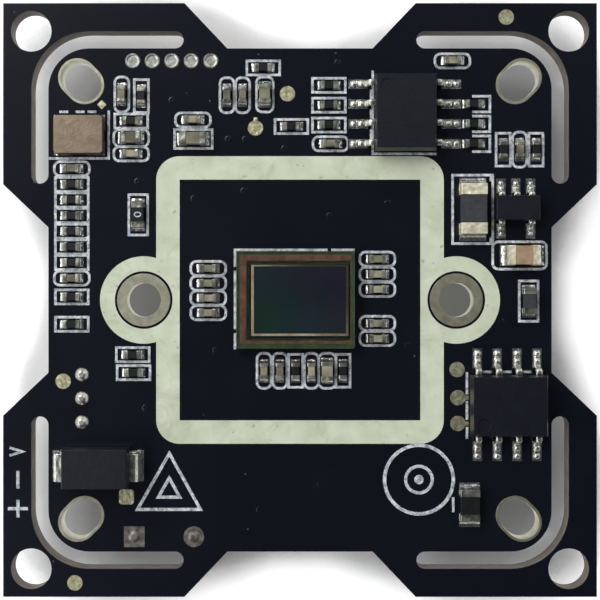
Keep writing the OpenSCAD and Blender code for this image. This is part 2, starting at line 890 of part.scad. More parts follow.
module crystal_base() {
    color("#5b4a3a") place(crystal_place) block([crystal_l, crystal_w, crystal_base_t], land_t);
}

module crystal_lid() {
    rim = 0.06;
    lid_w = [crystal_l - 2 * rim, crystal_w - 2 * rim];
    color("#b8a388") place(crystal_place) translate([0, 0, land_t + crystal_base_t])
        linear_extrude(crystal_lid_t) rounded_rect(lid_w[0], lid_w[1], 0.2);
}

// ---- chips with bent leads ----

function unit(v) = v / norm(v);
function left_of(v) = [-v[1], v[0]];

// Point i of a path, moved sideways so that the strip keeps its thickness round a bend
function strip_point(path, i, side) =
    let (last = len(path) - 1,
         into = unit(path[max(i, 1)] - path[max(i, 1) - 1]),
         out = unit(path[min(i, last - 1) + 1] - path[min(i, last - 1)]),
         middle = unit(left_of(into) + left_of(out)))
    path[i] + side * middle / (middle * left_of(out));

function strip(path, t) = concat(
    [for (i = [0 : len(path) - 1]) strip_point(path, i, t / 2)],
    [for (i = [len(path) - 1 : -1 : 0]) strip_point(path, i, -t / 2)]
);

// A gull-wing lead, from the body's side outwards along +X; rise is from foot to shoulder
module gull_lead(rise, reach, shoulder, foot, t, w) {
    heel = reach - foot;
    path = [
        [0, rise], [shoulder - lead_bend, rise], [shoulder, rise - lead_bend],
        [heel - lead_bend, lead_bend], [heel, 0], [reach, 0]
    ];
    translate([0, w / 2, land_t + t / 2]) rotate([90, 0, 0])
        linear_extrude(w) polygon(strip(path, t));
}

// A J lead: out of the body's side, down, and back under the body
module j_lead(rise, out, foot, t, w) {
    path = [
        [0, rise], [out - lead_bend, rise], [out, rise - lead_bend],
        [out, lead_bend], [out - lead_bend, 0], [out - foot, 0]
    ];
    translate([0, w / 2, land_t + t / 2]) rotate([90, 0, 0])
        linear_extrude(w) polygon(strip(path, t));
}

// A moulded body's section: sides drafted both ways from a flat band as thick as a lead
module mould_section(w, z, h, band_z, band_t) {
    lean = mould_draft * w / 3.9;
    polygon([
        [-w / 2 + lean, z], [w / 2 - lean, z], [w / 2, band_z - band_t / 2],
        [w / 2, band_z + band_t / 2], [w / 2 - lean, z + h], [-w / 2 + lean, z + h],
        [-w / 2, band_z + band_t / 2], [-w / 2, band_z - band_t / 2]
    ]);
}

// A body that is w along X, d along Y and h high, drafted on all four sides
module mould(w, d, h, standoff, band_z, band_t) {
    z = land_t + standoff;
    intersection() {
        translate([0, d / 2, 0]) rotate([90, 0, 0])
            linear_extrude(d) mould_section(w, z, h, band_z, band_t);
        translate([-w / 2, 0, 0]) rotate([90, 0, 90])
            linear_extrude(w) mould_section(d, z, h, band_z, band_t);
    }
}

// Height of the lead's middle where it leaves the body
function exit_z(standoff, h) = land_t + standoff + h * 0.5;
function lead_rise(standoff, h, t) = exit_z(standoff, h) - land_t - t / 2;

so8_rows = [for (i = [0 : so8_leads - 1]) (i - (so8_leads - 1) / 2) * so8_pitch];

module so8_body() {
    top = land_t + so8_standoff + so8_h;
    difference() {
        mould(so8_w, so8_l, so8_h, so8_standoff, exit_z(so8_standoff, so8_h), so8_lead_t);
        translate([-so8_w / 2 + 0.75, so8_l / 2 - 0.8, top - pin_one_depth])
            cylinder(h = pin_one_depth + cut_past, r = pin_one_r);
    }
}

module so8_leads() {
    for (side = [0, 180], y = so8_rows) rotate(side) translate([so8_w / 2, y, 0])
        gull_lead(lead_rise(so8_standoff, so8_h, so8_lead_t), (so8_span - so8_w) / 2,
                  so8_shoulder, so8_foot, so8_lead_t, so8_lead_w);
}

// A tinned land that reaches out to land_out, with solder against the lead's toe at tip
module lead_land(land_out, land_l, land_w, tip, lead_w) {
    translate([land_out - land_l, -land_w / 2, 0]) cube([land_l, land_w, land_t]);
    translate([tip, lead_w / 2, land_t]) rotate([90, 0, 0]) linear_extrude(lead_w)
        difference() {
            square(toe_t);
            translate([toe_t, toe_t]) circle(toe_t);
        }
}

module so8_lands() {
    for (side = [0, 180], y = so8_rows) rotate(side) translate([0, y, 0])
        lead_land(so8_land_out, so8_land_l, so8_land_w, so8_span / 2, so8_lead_w);
}

// The flat area of those lands, with a bare gap round it
module so8_land_areas() {
    land = [so8_land_l + 2 * print_gap, so8_land_w + 2 * print_gap];
    for (s = [-1, 1], y = so8_rows)
        translate([s * (so8_land_out - so8_land_l / 2), y]) square(land, center = true);
}

module memory_chip_body() {
    color("#22242c") place(memory_place) so8_body();
}

module memory_chip_leads() {
    color("#c6c8c2") place(memory_place) so8_leads();
}

module video_driver_body() {
    color("#1e2027") place(driver_place) so8_body();
}

module video_driver_leads() {
    color("#c6c8c2") place(driver_place) so8_leads();
}

// Lead places of a small regulator: three on one side, the outer two or all three opposite
sot_three = [-sot_pitch, 0, sot_pitch];
sot_two = [-sot_pitch, sot_pitch];

module sot_body() {
    mould(sot_l, sot_w, sot_h, sot_standoff, exit_z(sot_standoff, sot_h), sot_lead_t);
}

module sot_leads(near, far) {
    for (row = [[90, near], [270, far]], x = row[1])
        rotate(row[0]) translate([sot_w / 2, x, 0])
            gull_lead(lead_rise(sot_standoff, sot_h, sot_lead_t), (sot_span - sot_w) / 2,
                      sot_shoulder, sot_foot, sot_lead_t, sot_lead_w);
}

module sot_land_areas(near, far) {
    land = [sot_land_l, sot_land_w] + print_gap * [2, 2];
    for (row = [[90, near], [270, far]], x = row[1]) rotate(row[0])
        translate([sot_land_out - sot_land_l / 2, x]) square(land, center = true);
}

module sot_lands(near, far) {
    for (row = [[90, near], [270, far]], x = row[1]) rotate(row[0]) translate([0, x, 0])
        lead_land(sot_land_out, sot_land_l, sot_land_w, sot_span / 2, sot_lead_w);
}

module regulator_body() {
    color("#1d1f26") place(regulator_place) sot_body();
}

module regulator_leads() {
    color("#cfd0c8") place(regulator_place) sot_leads(sot_three, sot_two);
}

diode_standoff = diode_lead_t;

module diode_body() {
    color("#23252d") place(diode_place)
        mould(diode_l, diode_w, diode_h, diode_standoff, exit_z(diode_standoff, diode_h),
              diode_lead_t);
}

module diode_terminals() {
    color("#c9c7b4") place(diode_place) for (side = [0, 180]) rotate(side)
        translate([diode_l / 2, 0, 0])
            j_lead(lead_rise(diode_standoff, diode_h, diode_lead_t), diode_lead_out,
                   diode_foot, diode_lead_t, diode_lead_w);
}

module diode_lands() {
    for (side = [0, 180]) rotate(side)
        translate([diode_span / 2 - diode_land_l, -diode_land_w / 2, 0])
            cube([diode_land_l, diode_land_w, land_t]);
}

module lead_solder() {
    color("#a8aaa6") {
        place(memory_place) so8_lands();
        place(driver_place) so8_lands();
        place(regulator_place) sot_lands(sot_three, sot_two);
        place(diode_place) diode_lands();
    }
}

// ---- image sensor ----

module sensor_solder_balls() {
    step_x = (sensor_w - 2 * ball_margin) / (ball_columns - 1);
    step_y = (sensor_d - 2 * ball_margin) / (ball_rows - 1);
    color("#a8aaa6") translate([-sensor_shift, 0, 0]) intersection() {
        for (i = [0 : ball_columns - 1], j = [0 : ball_rows - 1])
            translate([(i - (ball_columns - 1) / 2) * step_x,
                       (j - (ball_rows - 1) / 2) * step_y, sensor_z / 2]) sphere(d = ball_d);
        block([sensor_w, sensor_d, sensor_z], 0);
    }
}

module sensor_base() {
    color("#3f5a33") translate([-sensor_shift, 0, 0])
        block([sensor_w, sensor_d, sensor_base_t], sensor_z);
}

module sensor_dam() {
    color("#6d5a3e") translate([0, 0, die_z]) linear_extrude(dam_t) difference() {
        translate([sensor_left, sensor_bottom]) square([sensor_w, sensor_d]);
        translate([sensor_left + dam_wall_left, sensor_bottom + dam_wall_bottom])
            square([sensor_w - dam_wall_left - dam_wall_right,
                    sensor_d - dam_wall_top - dam_wall_bottom]);
    }
}

module sensor_die() {
    left = sensor_left + dam_wall_left + die_gap_left;
    right = sensor_right - dam_wall_right - die_gap_right;
    low = sensor_bottom + dam_wall_bottom + die_gap_bottom;
    high = sensor_top - dam_wall_top - die_gap_top;
    color("#b59d84") translate([left, low, die_z]) cube([right - left, high - low, die_t]);
}

module pixel_array() {
    color("#2b2d3a") block([array_w, array_d, array_t], die_z + die_t);
}

module sensor_cover_glass() {
    color("#7f93a0", 0.35) translate([-sensor_shift, 0, 0])
        block([sensor_w, sensor_d, glass_t], glass_z);
}

// ---- parts on the back ----

processor_rows = [for (i = [0 : processor_side_leads - 1])
    (i - (processor_side_leads - 1) / 2) * processor_pitch];

module image_processor_body() {
    color("#22242b") on_back() place(processor_place)
        mould(processor_w, processor_w, processor_h, processor_standoff,
              exit_z(processor_standoff, processor_h), processor_lead_t);
}

module image_processor_leads() {
    rise = lead_rise(processor_standoff, processor_h, processor_lead_t);
    reach = (processor_span - processor_w) / 2;
    color("#c6c8c2") on_back() place(processor_place)
        for (side = [0 : 90 : 270], y = processor_rows) rotate(side)
            translate([processor_w / 2, y, 0])
                gull_lead(rise, reach, processor_shoulder, processor_foot,
                          processor_lead_t, processor_lead_w);
}

// A shrouded header that opens away from the board, its row of pins along X
module header_housing(pins, pitch, pin_w) {
    length = (pins - 1) * pitch + 3;
    difference() {
        translate([0, -header_row_shift, 0]) difference() {
            block([length, header_d, header_h], 0);
            translate([0, 0, header_floor_t])
                block([length - 2 * header_wall, header_d - 2 * header_wall, header_h], 0);
            for (s = [-1, 1])
                translate([s * (length / 2 - 1.2), -header_d / 2, header_floor_t + 1])
                    block([header_key_w, 4 * header_wall, header_h], 0);
        }
        for (i = [0 : pins - 1]) translate([(i - (pins - 1) / 2) * pitch, 0, -cut_past])
            block([pin_w, pin_w, header_floor_t + 2 * cut_past], 0);
    }
}

module header_pins(pins, pitch, pin_w) {
    for (i = [0 : pins - 1]) translate([(i - (pins - 1) / 2) * pitch, 0, -board_t])
        block([pin_w, pin_w, board_t + header_h - pin_recess], 0);
}

module signal_header_housing() {
    color("#e6e2d4") on_back() translate([signal_x, signal_y, 0])
        header_housing(signal_pins, signal_pitch, signal_pin_w);
}

module signal_header_pins() {
    color("#c8bf9a") on_back() translate([signal_x, signal_y, 0])
        header_pins(signal_pins, signal_pitch, signal_pin_w);
}

module power_header_housing() {
    color("#e6e2d4") on_back() translate([power_x, power_y, 0]) rotate(90)
        header_housing(power_pins, power_pitch, power_pin_w);
}

module power_header_pins() {
    color("#c8bf9a") on_back() translate([power_x, power_y, 0]) rotate(90)
        header_pins(power_pins, power_pitch, power_pin_w);
}

module power_inductor_body() {
    half = inductor_w / 2;
    cut = half - inductor_chamfer;
    color("#2f3136") on_back() place(inductor_place)
        translate([0, 0, land_t + inductor_lead_t]) linear_extrude(inductor_h) polygon([
            [-half, -cut], [-cut, -half], [cut, -half], [half, -cut],
            [half, cut], [cut, half], [-cut, half], [-half, cut]
        ]);
}

module power_inductor_terminals() {
    color("#c6c8c2") on_back() place(inductor_place) for (side = [0, 180]) rotate(side)
        translate([inductor_w / 2, 0, 0])
            j_lead(inductor_h / 2, 0.2, inductor_foot, inductor_lead_t, inductor_lead_w);
}

module step_down_regulator_body() {
    color("#1d1f26") on_back() place(step_down_place) sot_body();
}

module step_down_regulator_leads() {
    color("#cfd0c8") on_back() place(step_down_place) sot_leads(sot_three, sot_three);
}

module back_capacitor_bodies() {
    color("#9a8f76") on_back() place_each(back_filters) chip_body(large_filter_size);
}

module back_capacitor_terminals() {
    color("#b9bab2") on_back() place_each(back_filters) chip_caps(large_filter_size);
}

module back_solder() {
    outer = inductor_w / 2 + 0.2 + inductor_lead_t / 2 + toe;
    land_out = processor_span / 2 + toe;
    color("#a8aaa6") on_back() {
        place(processor_place) for (side = [0 : 90 : 270], y = processor_rows) rotate(side)
            translate([0, y, 0])
                lead_land(land_out, processor_land_l, processor_land_w,
                          processor_span / 2, processor_lead_w);
        place(step_down_place) sot_lands(sot_three, sot_three);
        place_each(back_filters) chip_joints(large_filter_size);
        place(inductor_place) for (side = [0, 180]) rotate(side)
            translate([outer - inductor_foot - toe, -inductor_land_w / 2, 0])
                cube([inductor_foot + toe, inductor_land_w, land_t]);
    }
}

circuit_board();
lens_footprint_print();
component_outline_print();
lens_screw_lands();
mounting_slot_lands();
test_pads();
wire_pads();
header_solder_joints();
chip_solder();
lead_solder();
sensor_solder_balls();
sensor_base();
sensor_die();
pixel_array();
sensor_dam();
sensor_cover_glass();
crystal_base();
crystal_lid();
memory_chip_body();
memory_chip_leads();
video_driver_body();
video_driver_leads();
regulator_body();
regulator_leads();
diode_body();
diode_terminals();
ferrite_bead_body();
ferrite_bead_terminals();
bulk_capacitor_body();
bulk_capacitor_terminals();
load_resistor_body();
load_resistor_terminals();
small_resistor_bodies();
small_resistor_terminals();
small_capacitor_bodies();
small_capacitor_terminals();
filter_capacitor_bodies();
filter_capacitor_terminals();
jumper_link_body();
jumper_link_terminals();
small_bead_body();
small_bead_terminals();
image_processor_body();
image_processor_leads();
signal_header_housing();
signal_header_pins();
power_header_housing();
power_header_pins();
power_inductor_body();
power_inductor_terminals();
step_down_regulator_body();
step_down_regulator_leads();
back_capacitor_bodies();
back_capacitor_terminals();
back_solder();
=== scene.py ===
"""Finishes and fine detail of a bare camera board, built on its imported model.

Every CAD node keeps its place and mesh and gets the finish of its real material. What is
too fine for the solids is added here: printed marks, tented vias, the rims of the sensor's
layers and the solder that wets the leads.
"""

from __future__ import annotations

import json
import logging
import math
from collections.abc import Iterable, Sequence
from dataclasses import dataclass, field, replace
from enum import Enum
from functools import cache

import bmesh
import bpy
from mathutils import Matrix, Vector

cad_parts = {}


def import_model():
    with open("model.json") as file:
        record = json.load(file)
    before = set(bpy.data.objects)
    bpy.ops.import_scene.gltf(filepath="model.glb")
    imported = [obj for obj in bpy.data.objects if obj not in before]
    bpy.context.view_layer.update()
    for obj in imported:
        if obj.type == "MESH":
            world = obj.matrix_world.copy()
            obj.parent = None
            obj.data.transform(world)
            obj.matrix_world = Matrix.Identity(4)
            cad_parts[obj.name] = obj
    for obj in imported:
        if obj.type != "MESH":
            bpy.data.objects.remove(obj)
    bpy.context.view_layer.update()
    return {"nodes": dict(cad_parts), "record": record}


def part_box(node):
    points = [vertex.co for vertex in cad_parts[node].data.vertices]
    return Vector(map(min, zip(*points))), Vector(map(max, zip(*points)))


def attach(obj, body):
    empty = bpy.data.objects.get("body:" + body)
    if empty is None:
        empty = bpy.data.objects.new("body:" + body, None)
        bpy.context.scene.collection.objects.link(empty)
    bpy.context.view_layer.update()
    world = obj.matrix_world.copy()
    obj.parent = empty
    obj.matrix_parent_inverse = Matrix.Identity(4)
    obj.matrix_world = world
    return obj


LOG = logging.getLogger("camera_board")
MM = 0.001
ROOT = "root"

# A Mix node's sockets for colours, which share their names with those for other kinds.
MIX_FACTOR, MIX_A, MIX_B, MIX_RESULT = 0, 6, 7, 2

# The finest grain that shows in a view of the whole board. A material whose own grain is
# finer is drawn with this one instead, and a comment beside it gives the real size.
SHOWING_MM = 0.18

Point = tuple[float, float]
Box = tuple[Point, Point]
Sides = tuple[float, float, float, float]
Colour = tuple[float, float, float, float]
Socket = bpy.types.NodeSocket


class Slot(Enum):
    """The record's material slots."""

    SOLDER_MASK = "solder_mask"
    FRAME_INK = "frame_ink"
    OUTLINE_INK = "outline_ink"
    TINNED_LAND = "tinned_land"
    SOLDER = "solder"
    TINNED_LEAD = "tinned_lead"
    END_CAP = "end_cap"
    MOULD_BLACK = "mould_black"
    RESISTOR_GLAZE = "resistor_glaze"
    CAPACITOR_TAN = "capacitor_tan"
    CAPACITOR_AMBER = "capacitor_amber"
    FERRITE = "ferrite"
    PACKAGE_GREEN = "package_green"
    DAM_RESIN = "dam_resin"
    SILICON = "silicon"
    PIXEL_FILTER = "pixel_filter"
    COVER_GLASS = "cover_glass"
    CRYSTAL_CERAMIC = "crystal_ceramic"
    LID_METAL = "lid_metal"
    HOUSING_NYLON = "housing_nylon"
    PIN_METAL = "pin_metal"


class Side(Enum):
    """The two faces of the board, each with the direction that it faces."""

    SENSOR = 1
    BACK = -1


def linear(colour: str) -> Colour:
    """Turns an sRGB hex colour into the linear one that shaders take, by the sRGB curve.

    Args:
        colour: The colour as written, such as "#c3c9b1".

    Returns:
        Linear red, green and blue, and an alpha of 1.
    """
    channels = [int(colour[i : i + 2], 16) / 255 for i in (1, 3, 5)]
    red, green, blue = (
        c / 12.92 if c <= 0.04045 else ((c + 0.055) / 1.055) ** 2.4 for c in channels
    )
    return red, green, blue, 1.0


def per_mm(size_mm: float) -> float:
    """The scale that gives a pattern on object coordinates a repeat of size_mm."""
    return 1.0 / (size_mm * MM)


def add_node(
    tree: bpy.types.NodeTree,
    kind: str,
    inputs: dict[str | int, object] | None = None,
    **settings: object,
) -> bpy.types.Node:
    """Adds one shader node with its settings and links.

    Args:
        tree: The node tree that gets the node.
        kind: Blender's name for the kind of node.
        inputs: For each socket, a value or the output socket that feeds it.
        **settings: Properties of the node itself.

    Returns:
        The new node.
    """
    node = tree.nodes.new(kind)
    for name, value in settings.items():
        setattr(node, name, value)
    for key, value in (inputs or {}).items():
        if isinstance(value, Socket):
            tree.links.new(value, node.inputs[key])
        else:
            node.inputs[key].default_value = value
    return node


# ---- patterns ----


@dataclass(frozen=True)
class Canvas:
    """What a finish is drawn on: a material's nodes, its shader and object coordinates."""

    tree: bpy.types.NodeTree
    shader: bpy.types.Node
    at: Socket

    def feed(self, name: str, source: Socket) -> None:
        """Links a socket to the shader's input of that name."""
        self.tree.links.new(source, self.shader.inputs[name])

    def overlay(self, share: Socket, colour: Socket | Colour) -> None:
        """Lays another colour over the one that the shader has.

        Args:
            share: How much of it shows at each place, from 0 to 1.
            colour: The colour, or the socket that carries it.
        """
        under = self.shader.inputs["Base Color"].links[0].from_socket
        both = add_node(
            self.tree,
            "ShaderNodeMix",
            {MIX_FACTOR: share, MIX_A: under, MIX_B: colour},
            data_type="RGBA",
        )
        self.feed("Base Color", both.outputs[MIX_RESULT])

    def diagonal(self, reach_mm: float) -> Socket:
        """Adds a ramp from 0 at the lower left to 1 at the upper right of the coordinates.

        Args:
            reach_mm: Length of the ramp, as x and y together.

        Returns:
            The socket that carries the ramp.
        """
        parts = add_node(self.tree, "ShaderNodeSeparateXYZ", {"Vector": self.at})
        along = add_node(
            self.tree,
            "ShaderNodeMath",
            {0: parts.outputs["X"], 1: parts.outputs["Y"]},
            operation="ADD",
        )
        reach = reach_mm * MM / 2
        ramp = add_node(
            self.tree,
            "ShaderNodeMapRange",
            {"Value": along.outputs["Value"], "From Min": -reach, "From Max": reach},
        )
        return ramp.outputs["Result"]


@dataclass(frozen=True)
class Patches:
    """Cloudy patches of a real size: 0 where the cloud is below low, most above high."""

    size_mm: float
    detail: float
    low: float = 0.35
    high: float = 0.65
    most: float = 1.0
    roughness: float = 0.5
    distortion: float = 0.0

    def share(self, canvas: Canvas) -> Socket:
        """Adds the patches' nodes.

        Args:
            canvas: The material.

        Returns:
            The socket that carries how far each place lies in a patch.
        """
        cloud = add_node(
            canvas.tree,
            "ShaderNodeTexNoise",
            {
                "Vector": canvas.at,
                "Scale": per_mm(self.size_mm),
                "Detail": self.detail,
                "Roughness": self.roughness,
                "Distortion": self.distortion,
            },
        )
        share = add_node(
            canvas.tree,
            "ShaderNodeMapRange",
            {
                "Value": cloud.outputs["Fac"],
                "From Min": self.low,
                "From Max": self.high,
                "To Max": self.most,
            },
        )
        return share.outputs["Result"]


@dataclass(frozen=True)
class Stain:
    """Another colour over a finish, in patches."""

    colour: str
    patches: Patches


@dataclass(frozen=True)
class Mottle:
    """A colour that drifts between two shades, in patches of a real size."""

    dark: str
    light: str
    patch_mm: float
    detail: float = 3.0

    def colour(self, canvas: Canvas) -> Socket:
        """Adds the pattern's nodes.

        Args:
            canvas: The material.

        Returns:
            The socket that carries the colour.
        """
        mixed = add_node(
            canvas.tree,
            "ShaderNodeMix",
            {
                MIX_FACTOR: Patches(self.patch_mm, self.detail).share(canvas),
                MIX_A: linear(self.dark),
                MIX_B: linear(self.light),
            },
            data_type="RGBA",
        )
        return mixed.outputs[MIX_RESULT]


@dataclass(frozen=True)
class Grain:
    """A surface's relief: bumps of a real width and height."""

    width_mm: float
    height_mm: float
    detail: float = 2.0

    def normal(self, canvas: Canvas) -> Socket:
        """Adds the relief's nodes.

        Args:
            canvas: The material.

        Returns:
            The socket that carries the bumped normal.
        """
        noise = add_node(
            canvas.tree,
            "ShaderNodeTexNoise",
            {"Vector": canvas.at, "Scale": per_mm(self.width_mm), "Detail": self.detail},
        )
        bump = add_node(
            canvas.tree,
            "ShaderNodeBump",
            {"Height": noise.outputs["Fac"], "Distance": self.height_mm * MM},
        )
        return bump.outputs["Normal"]


# ---- finishes ----


@dataclass(frozen=True)
class Finish:
    """A real material and how its surface was made."""

    name: str
    colour: Mottle
    grain: Grain
    roughness: float
    metallic: float = 0.0
    ior: float = 1.5
    stains: tuple[Stain, ...] = ()

    @cache
    def material(self) -> bpy.types.Material:
        """Makes the Blender material of this finish, the first time it is asked for.

        Returns:
            The material.
        """
        material = bpy.data.materials.new(self.name)
        material.use_nodes = True
        tree = material.node_tree
        shader = tree.nodes["Principled BSDF"]
        shader.inputs["Roughness"].default_value = self.roughness
        shader.inputs["Metallic"].default_value = self.metallic
        shader.inputs["IOR"].default_value = self.ior
        at = add_node(tree, "ShaderNodeTexCoord").outputs["Object"]
        canvas = Canvas(tree, shader, at)
        canvas.feed("Base Color", self.colour.colour(canvas))
        canvas.feed("Normal", self.grain.normal(canvas))
        material.diffuse_color = linear(self.colour.light)
        for stain in self.stains:
            canvas.overlay(stain.patches.share(canvas), linear(stain.colour))
        self.detail(canvas)
        return material

    def detail(self, canvas: Canvas) -> None:
        """Adds what only this finish has; most have nothing more."""


@dataclass(frozen=True)
class MetalFinish(Finish):
    """A finish whose face is bare metal; it keeps the usual IOR."""

    metallic: float = 1.0


@dataclass(frozen=True)
class BlackSolderMask(Finish):
    """Black epoxy mask, coated over the copper and cured, on milled glass-epoxy laminate.

    The mask is nearly black with a blue cast and a soft gloss that lifts towards the light.
    Where the board was milled, its layers of glass cloth show as a dull grey-brown edge.
    """

    name: str = "black_solder_mask"
    colour: Mottle = Mottle("#0a0c16", "#0e111b", 6.0)
    grain: Grain = Grain(0.35, 0.0012)
    roughness: float = 0.22
    laminate: Mottle = Mottle("#554d45", "#857c72", 0.9, 6.0)
    layer_mm: float = 0.11
    laminate_roughness: float = 0.8
    # A face that looks up or down by less than this is a wall.
    wall_rise: float = 0.5
    dust: str = "#7b808a"
    # Specks of dust are about 0.03 mm across; these are as coarse as they need to show.
    speck_mm: float = 0.06
    speck_spacing_mm: float = 1.7

    def detail(self, canvas: Canvas) -> None:
        """Adds dust, and gives every upright wall of the board the look of cut laminate.

        Args:
            canvas: The material.
        """
        tree = canvas.tree
        specks = add_node(
            tree,
            "ShaderNodeTexVoronoi",
            {"Vector": canvas.at, "Scale": per_mm(self.speck_spacing_mm)},
        )
        speck = add_node(
            tree,
            "ShaderNodeMapRange",
            {
                "Value": specks.outputs["Distance"],
                "From Max": self.speck_mm / self.speck_spacing_mm,
                "To Min": 1.0,
                "To Max": 0.0,
            },
        )
        canvas.overlay(speck.outputs["Result"], linear(self.dust))
        normal = add_node(tree, "ShaderNodeNewGeometry").outputs["True Normal"]
        rise = add_node(tree, "ShaderNodeSeparateXYZ", {"Vector": normal}).outputs["Z"]
        facing = add_node(tree, "ShaderNodeMath", {0: rise}, operation="ABSOLUTE")
        wall = add_node(
            tree,
            "ShaderNodeMath",
            {0: facing.outputs["Value"], 1: self.wall_rise},
            operation="LESS_THAN",
        ).outputs["Value"]
        flatten = self.laminate.patch_mm / self.layer_mm
        layers = add_node(
            tree, "ShaderNodeMapping", {"Vector": canvas.at, "Scale": (1.0, 1.0, flatten)}
        )
        cloth = replace(canvas, at=layers.outputs["Vector"])
        canvas.overlay(wall, self.laminate.colour(cloth))
        dullness = add_node(
            tree,
            "ShaderNodeMapRange",
            {"Value": wall, "To Min": self.roughness, "To Max": self.laminate_roughness},
        )
        canvas.feed("Roughness", dullness.outputs["Result"])


@dataclass(frozen=True)
class CreamFrameInk(Finish):
    """Cream epoxy ink, screened on thickly: matt, smudged, with small grey pits where it
    missed the mask."""

    name: str = "cream_frame_ink"
    colour: Mottle = Mottle("#c3cab0", "#d3d9c3", 1.6, 5.0)
    grain: Grain = Grain(0.3, 0.012)
    roughness: float = 0.72
    stains: tuple[Stain, ...] = (
        Stain("#a9ae98", Patches(2.6, 8.0, 0.52, 0.7, 0.6, roughness=0.75, distortion=1.5)),
        Stain("#8f957f", Patches(0.55, 4.0, 0.66, 0.72, 0.7)),
    )


@dataclass(frozen=True)
class WhiteOutlineInk(Finish):
    """White legend ink, screened in fine lines: matt, and broken up where the screen's mesh
    let little of it through, so that the mask greys it."""

    name: str = "white_outline_ink"
    colour: Mottle = Mottle("#989ea3", "#dfe3e5", 0.42, 4.0)
    # The screen's mesh leaves a grain of about 0.06 mm.
    grain: Grain = Grain(SHOWING_MM, 0.009)
    roughness: float = 0.7
    stains: tuple[Stain, ...] = (
        Stain("#30343b", Patches(SHOWING_MM, 3.0, 0.5, 0.68, 0.75, roughness=0.7)),
    )


@dataclass(frozen=True)
class TinnedLand(MetalFinish):
    """Hot-tinned copper, levelled by an air knife: dull warm grey, faintly rippled."""

    name: str = "hot_tinned_copper_land"
    colour: Mottle = Mottle("#a09e8a", "#b6b5a0", 0.5, 4.0)
    grain: Grain = Grain(0.4, 0.012)
    roughness: float = 0.45


@dataclass(frozen=True)
class ProbedPad(MetalFinish):
    """Tinned test pad, pricked by the probes of a test jig: pale yellow-grey, speckled."""

    name: str = "probed_test_pad"
    colour: Mottle = Mottle("#a5a17f", "#dad7b6", 0.24, 5.0)
    grain: Grain = Grain(0.22, 0.03, 3.0)
    roughness: float = 0.42


@dataclass(frozen=True)
class StainedLand(MetalFinish):
    """Tinned land with flux baked on to it: mottled grey-brown, half matt."""

    name: str = "flux_stained_land"
    colour: Mottle = Mottle("#55504b", "#8d8983", 0.35, 5.0)
    grain: Grain = Grain(0.25, 0.012)
    roughness: float = 0.5


@dataclass(frozen=True)
class ReflowedSolder(MetalFinish):
    """Solder that flowed and froze in the oven: bright, crumpled by its own crystals."""

    name: str = "reflowed_solder"
    colour: Mottle = Mottle("#a5a7a4", "#e2e2dc", 0.3)
    grain: Grain = Grain(0.36, 0.06, 1.0)
    roughness: float = 0.26


@dataclass(frozen=True)
class HandSolder(MetalFinish):
    """Solder drawn up through the holes with an iron: smooth, satin, gently dimpled."""

    name: str = "hand_drawn_solder"
    colour: Mottle = Mottle("#b4b5ae", "#e0dfd6", 0.4)
    grain: Grain = Grain(0.5, 0.03, 1.0)
    roughness: float = 0.34


@dataclass(frozen=True)
class TinnedLead(MetalFinish):
    """Copper leads, stamped, bent and tin-plated: satin, with a faint yellow warmth."""

    name: str = "tin_plated_copper_lead"
    colour: Mottle = Mottle("#b9baae", "#e4e4da", 0.25)
    grain: Grain = Grain(0.42, 0.06, 1.0)
    roughness: float = 0.33


@dataclass(frozen=True)
class TinnedEndCap(MetalFinish):
    """End caps dipped in silver paste, fired and tin-plated: satin, softly rounded."""

    name: str = "tinned_end_cap"
    colour: Mottle = Mottle("#74756a", "#cccdc0", 0.7, 2.0)
    grain: Grain = Grain(0.38, 0.05, 1.0)
    roughness: float = 0.36


@dataclass(frozen=True)
class WarmEndCap(MetalFinish):
    """Thickly tinned caps of the larger chips, warm from the oven: a pale gold satin."""

    name: str = "warm_tinned_end_cap"
    colour: Mottle = Mottle("#ded6b8", "#fbf6e2", 0.3)
    grain: Grain = Grain(0.5, 0.08, 1.0)
    roughness: float = 0.55


@dataclass(frozen=True)
class MouldedEpoxy(Finish):
    """Black epoxy moulding, filled with silica: matt, with a fine even grain."""

    name: str = "moulded_black_epoxy"
    colour: Mottle = Mottle("#080b15", "#0c101b", 0.8)
    # The silica filler is about 0.03 mm.
    grain: Grain = Grain(SHOWING_MM, 0.01, 4.0)
    roughness: float = 0.37


@dataclass(frozen=True)
class ResistorGlaze(Finish):
    """Black protective glaze, printed and fired on a chip resistor: smooth, half gloss."""

    name: str = "black_resistor_glaze"
    colour: Mottle = Mottle("#0d0f13", "#14161b", 0.4)
    # The glaze pools in waves of about 0.1 mm.
    grain: Grain = Grain(SHOWING_MM, 0.005)
    roughness: float = 0.36


@dataclass(frozen=True)
class TanCeramic(Finish):
    """Sintered dielectric of a chip capacitor: matt, from olive tan to a dull cream, in
    patches a chip and a half wide, so that each chip has a shade of its own."""

    name: str = "tan_capacitor_ceramic"
    colour: Mottle = Mottle("#55513f", "#9c9780", 1.5, 1.0)
    # The sintered grains are about 0.01 mm.
    grain: Grain = Grain(SHOWING_MM, 0.01)
    roughness: float = 0.55


@dataclass(frozen=True)
class AmberCeramic(Finish):
    """Sintered dielectric of a larger capacitor: warm light brown, smooth and matt."""

    name: str = "amber_capacitor_ceramic"
    colour: Mottle = Mottle("#957b5f", "#a88f72", 0.5)
    # The sintered grains are about 0.01 mm.
    grain: Grain = Grain(SHOWING_MM, 0.009)
    roughness: float = 0.5


@dataclass(frozen=True)
class SinteredFerrite(Finish):
    """Pressed and sintered ferrite: charcoal grey with a dry, finely pitted face."""

    name: str = "sintered_ferrite"
    colour: Mottle = Mottle("#26282c", "#34373c", 0.25, 5.0)
    # The pits are about 0.03 mm.
    grain: Grain = Grain(SHOWING_MM, 0.016, 4.0)
    roughness: float = 0.62


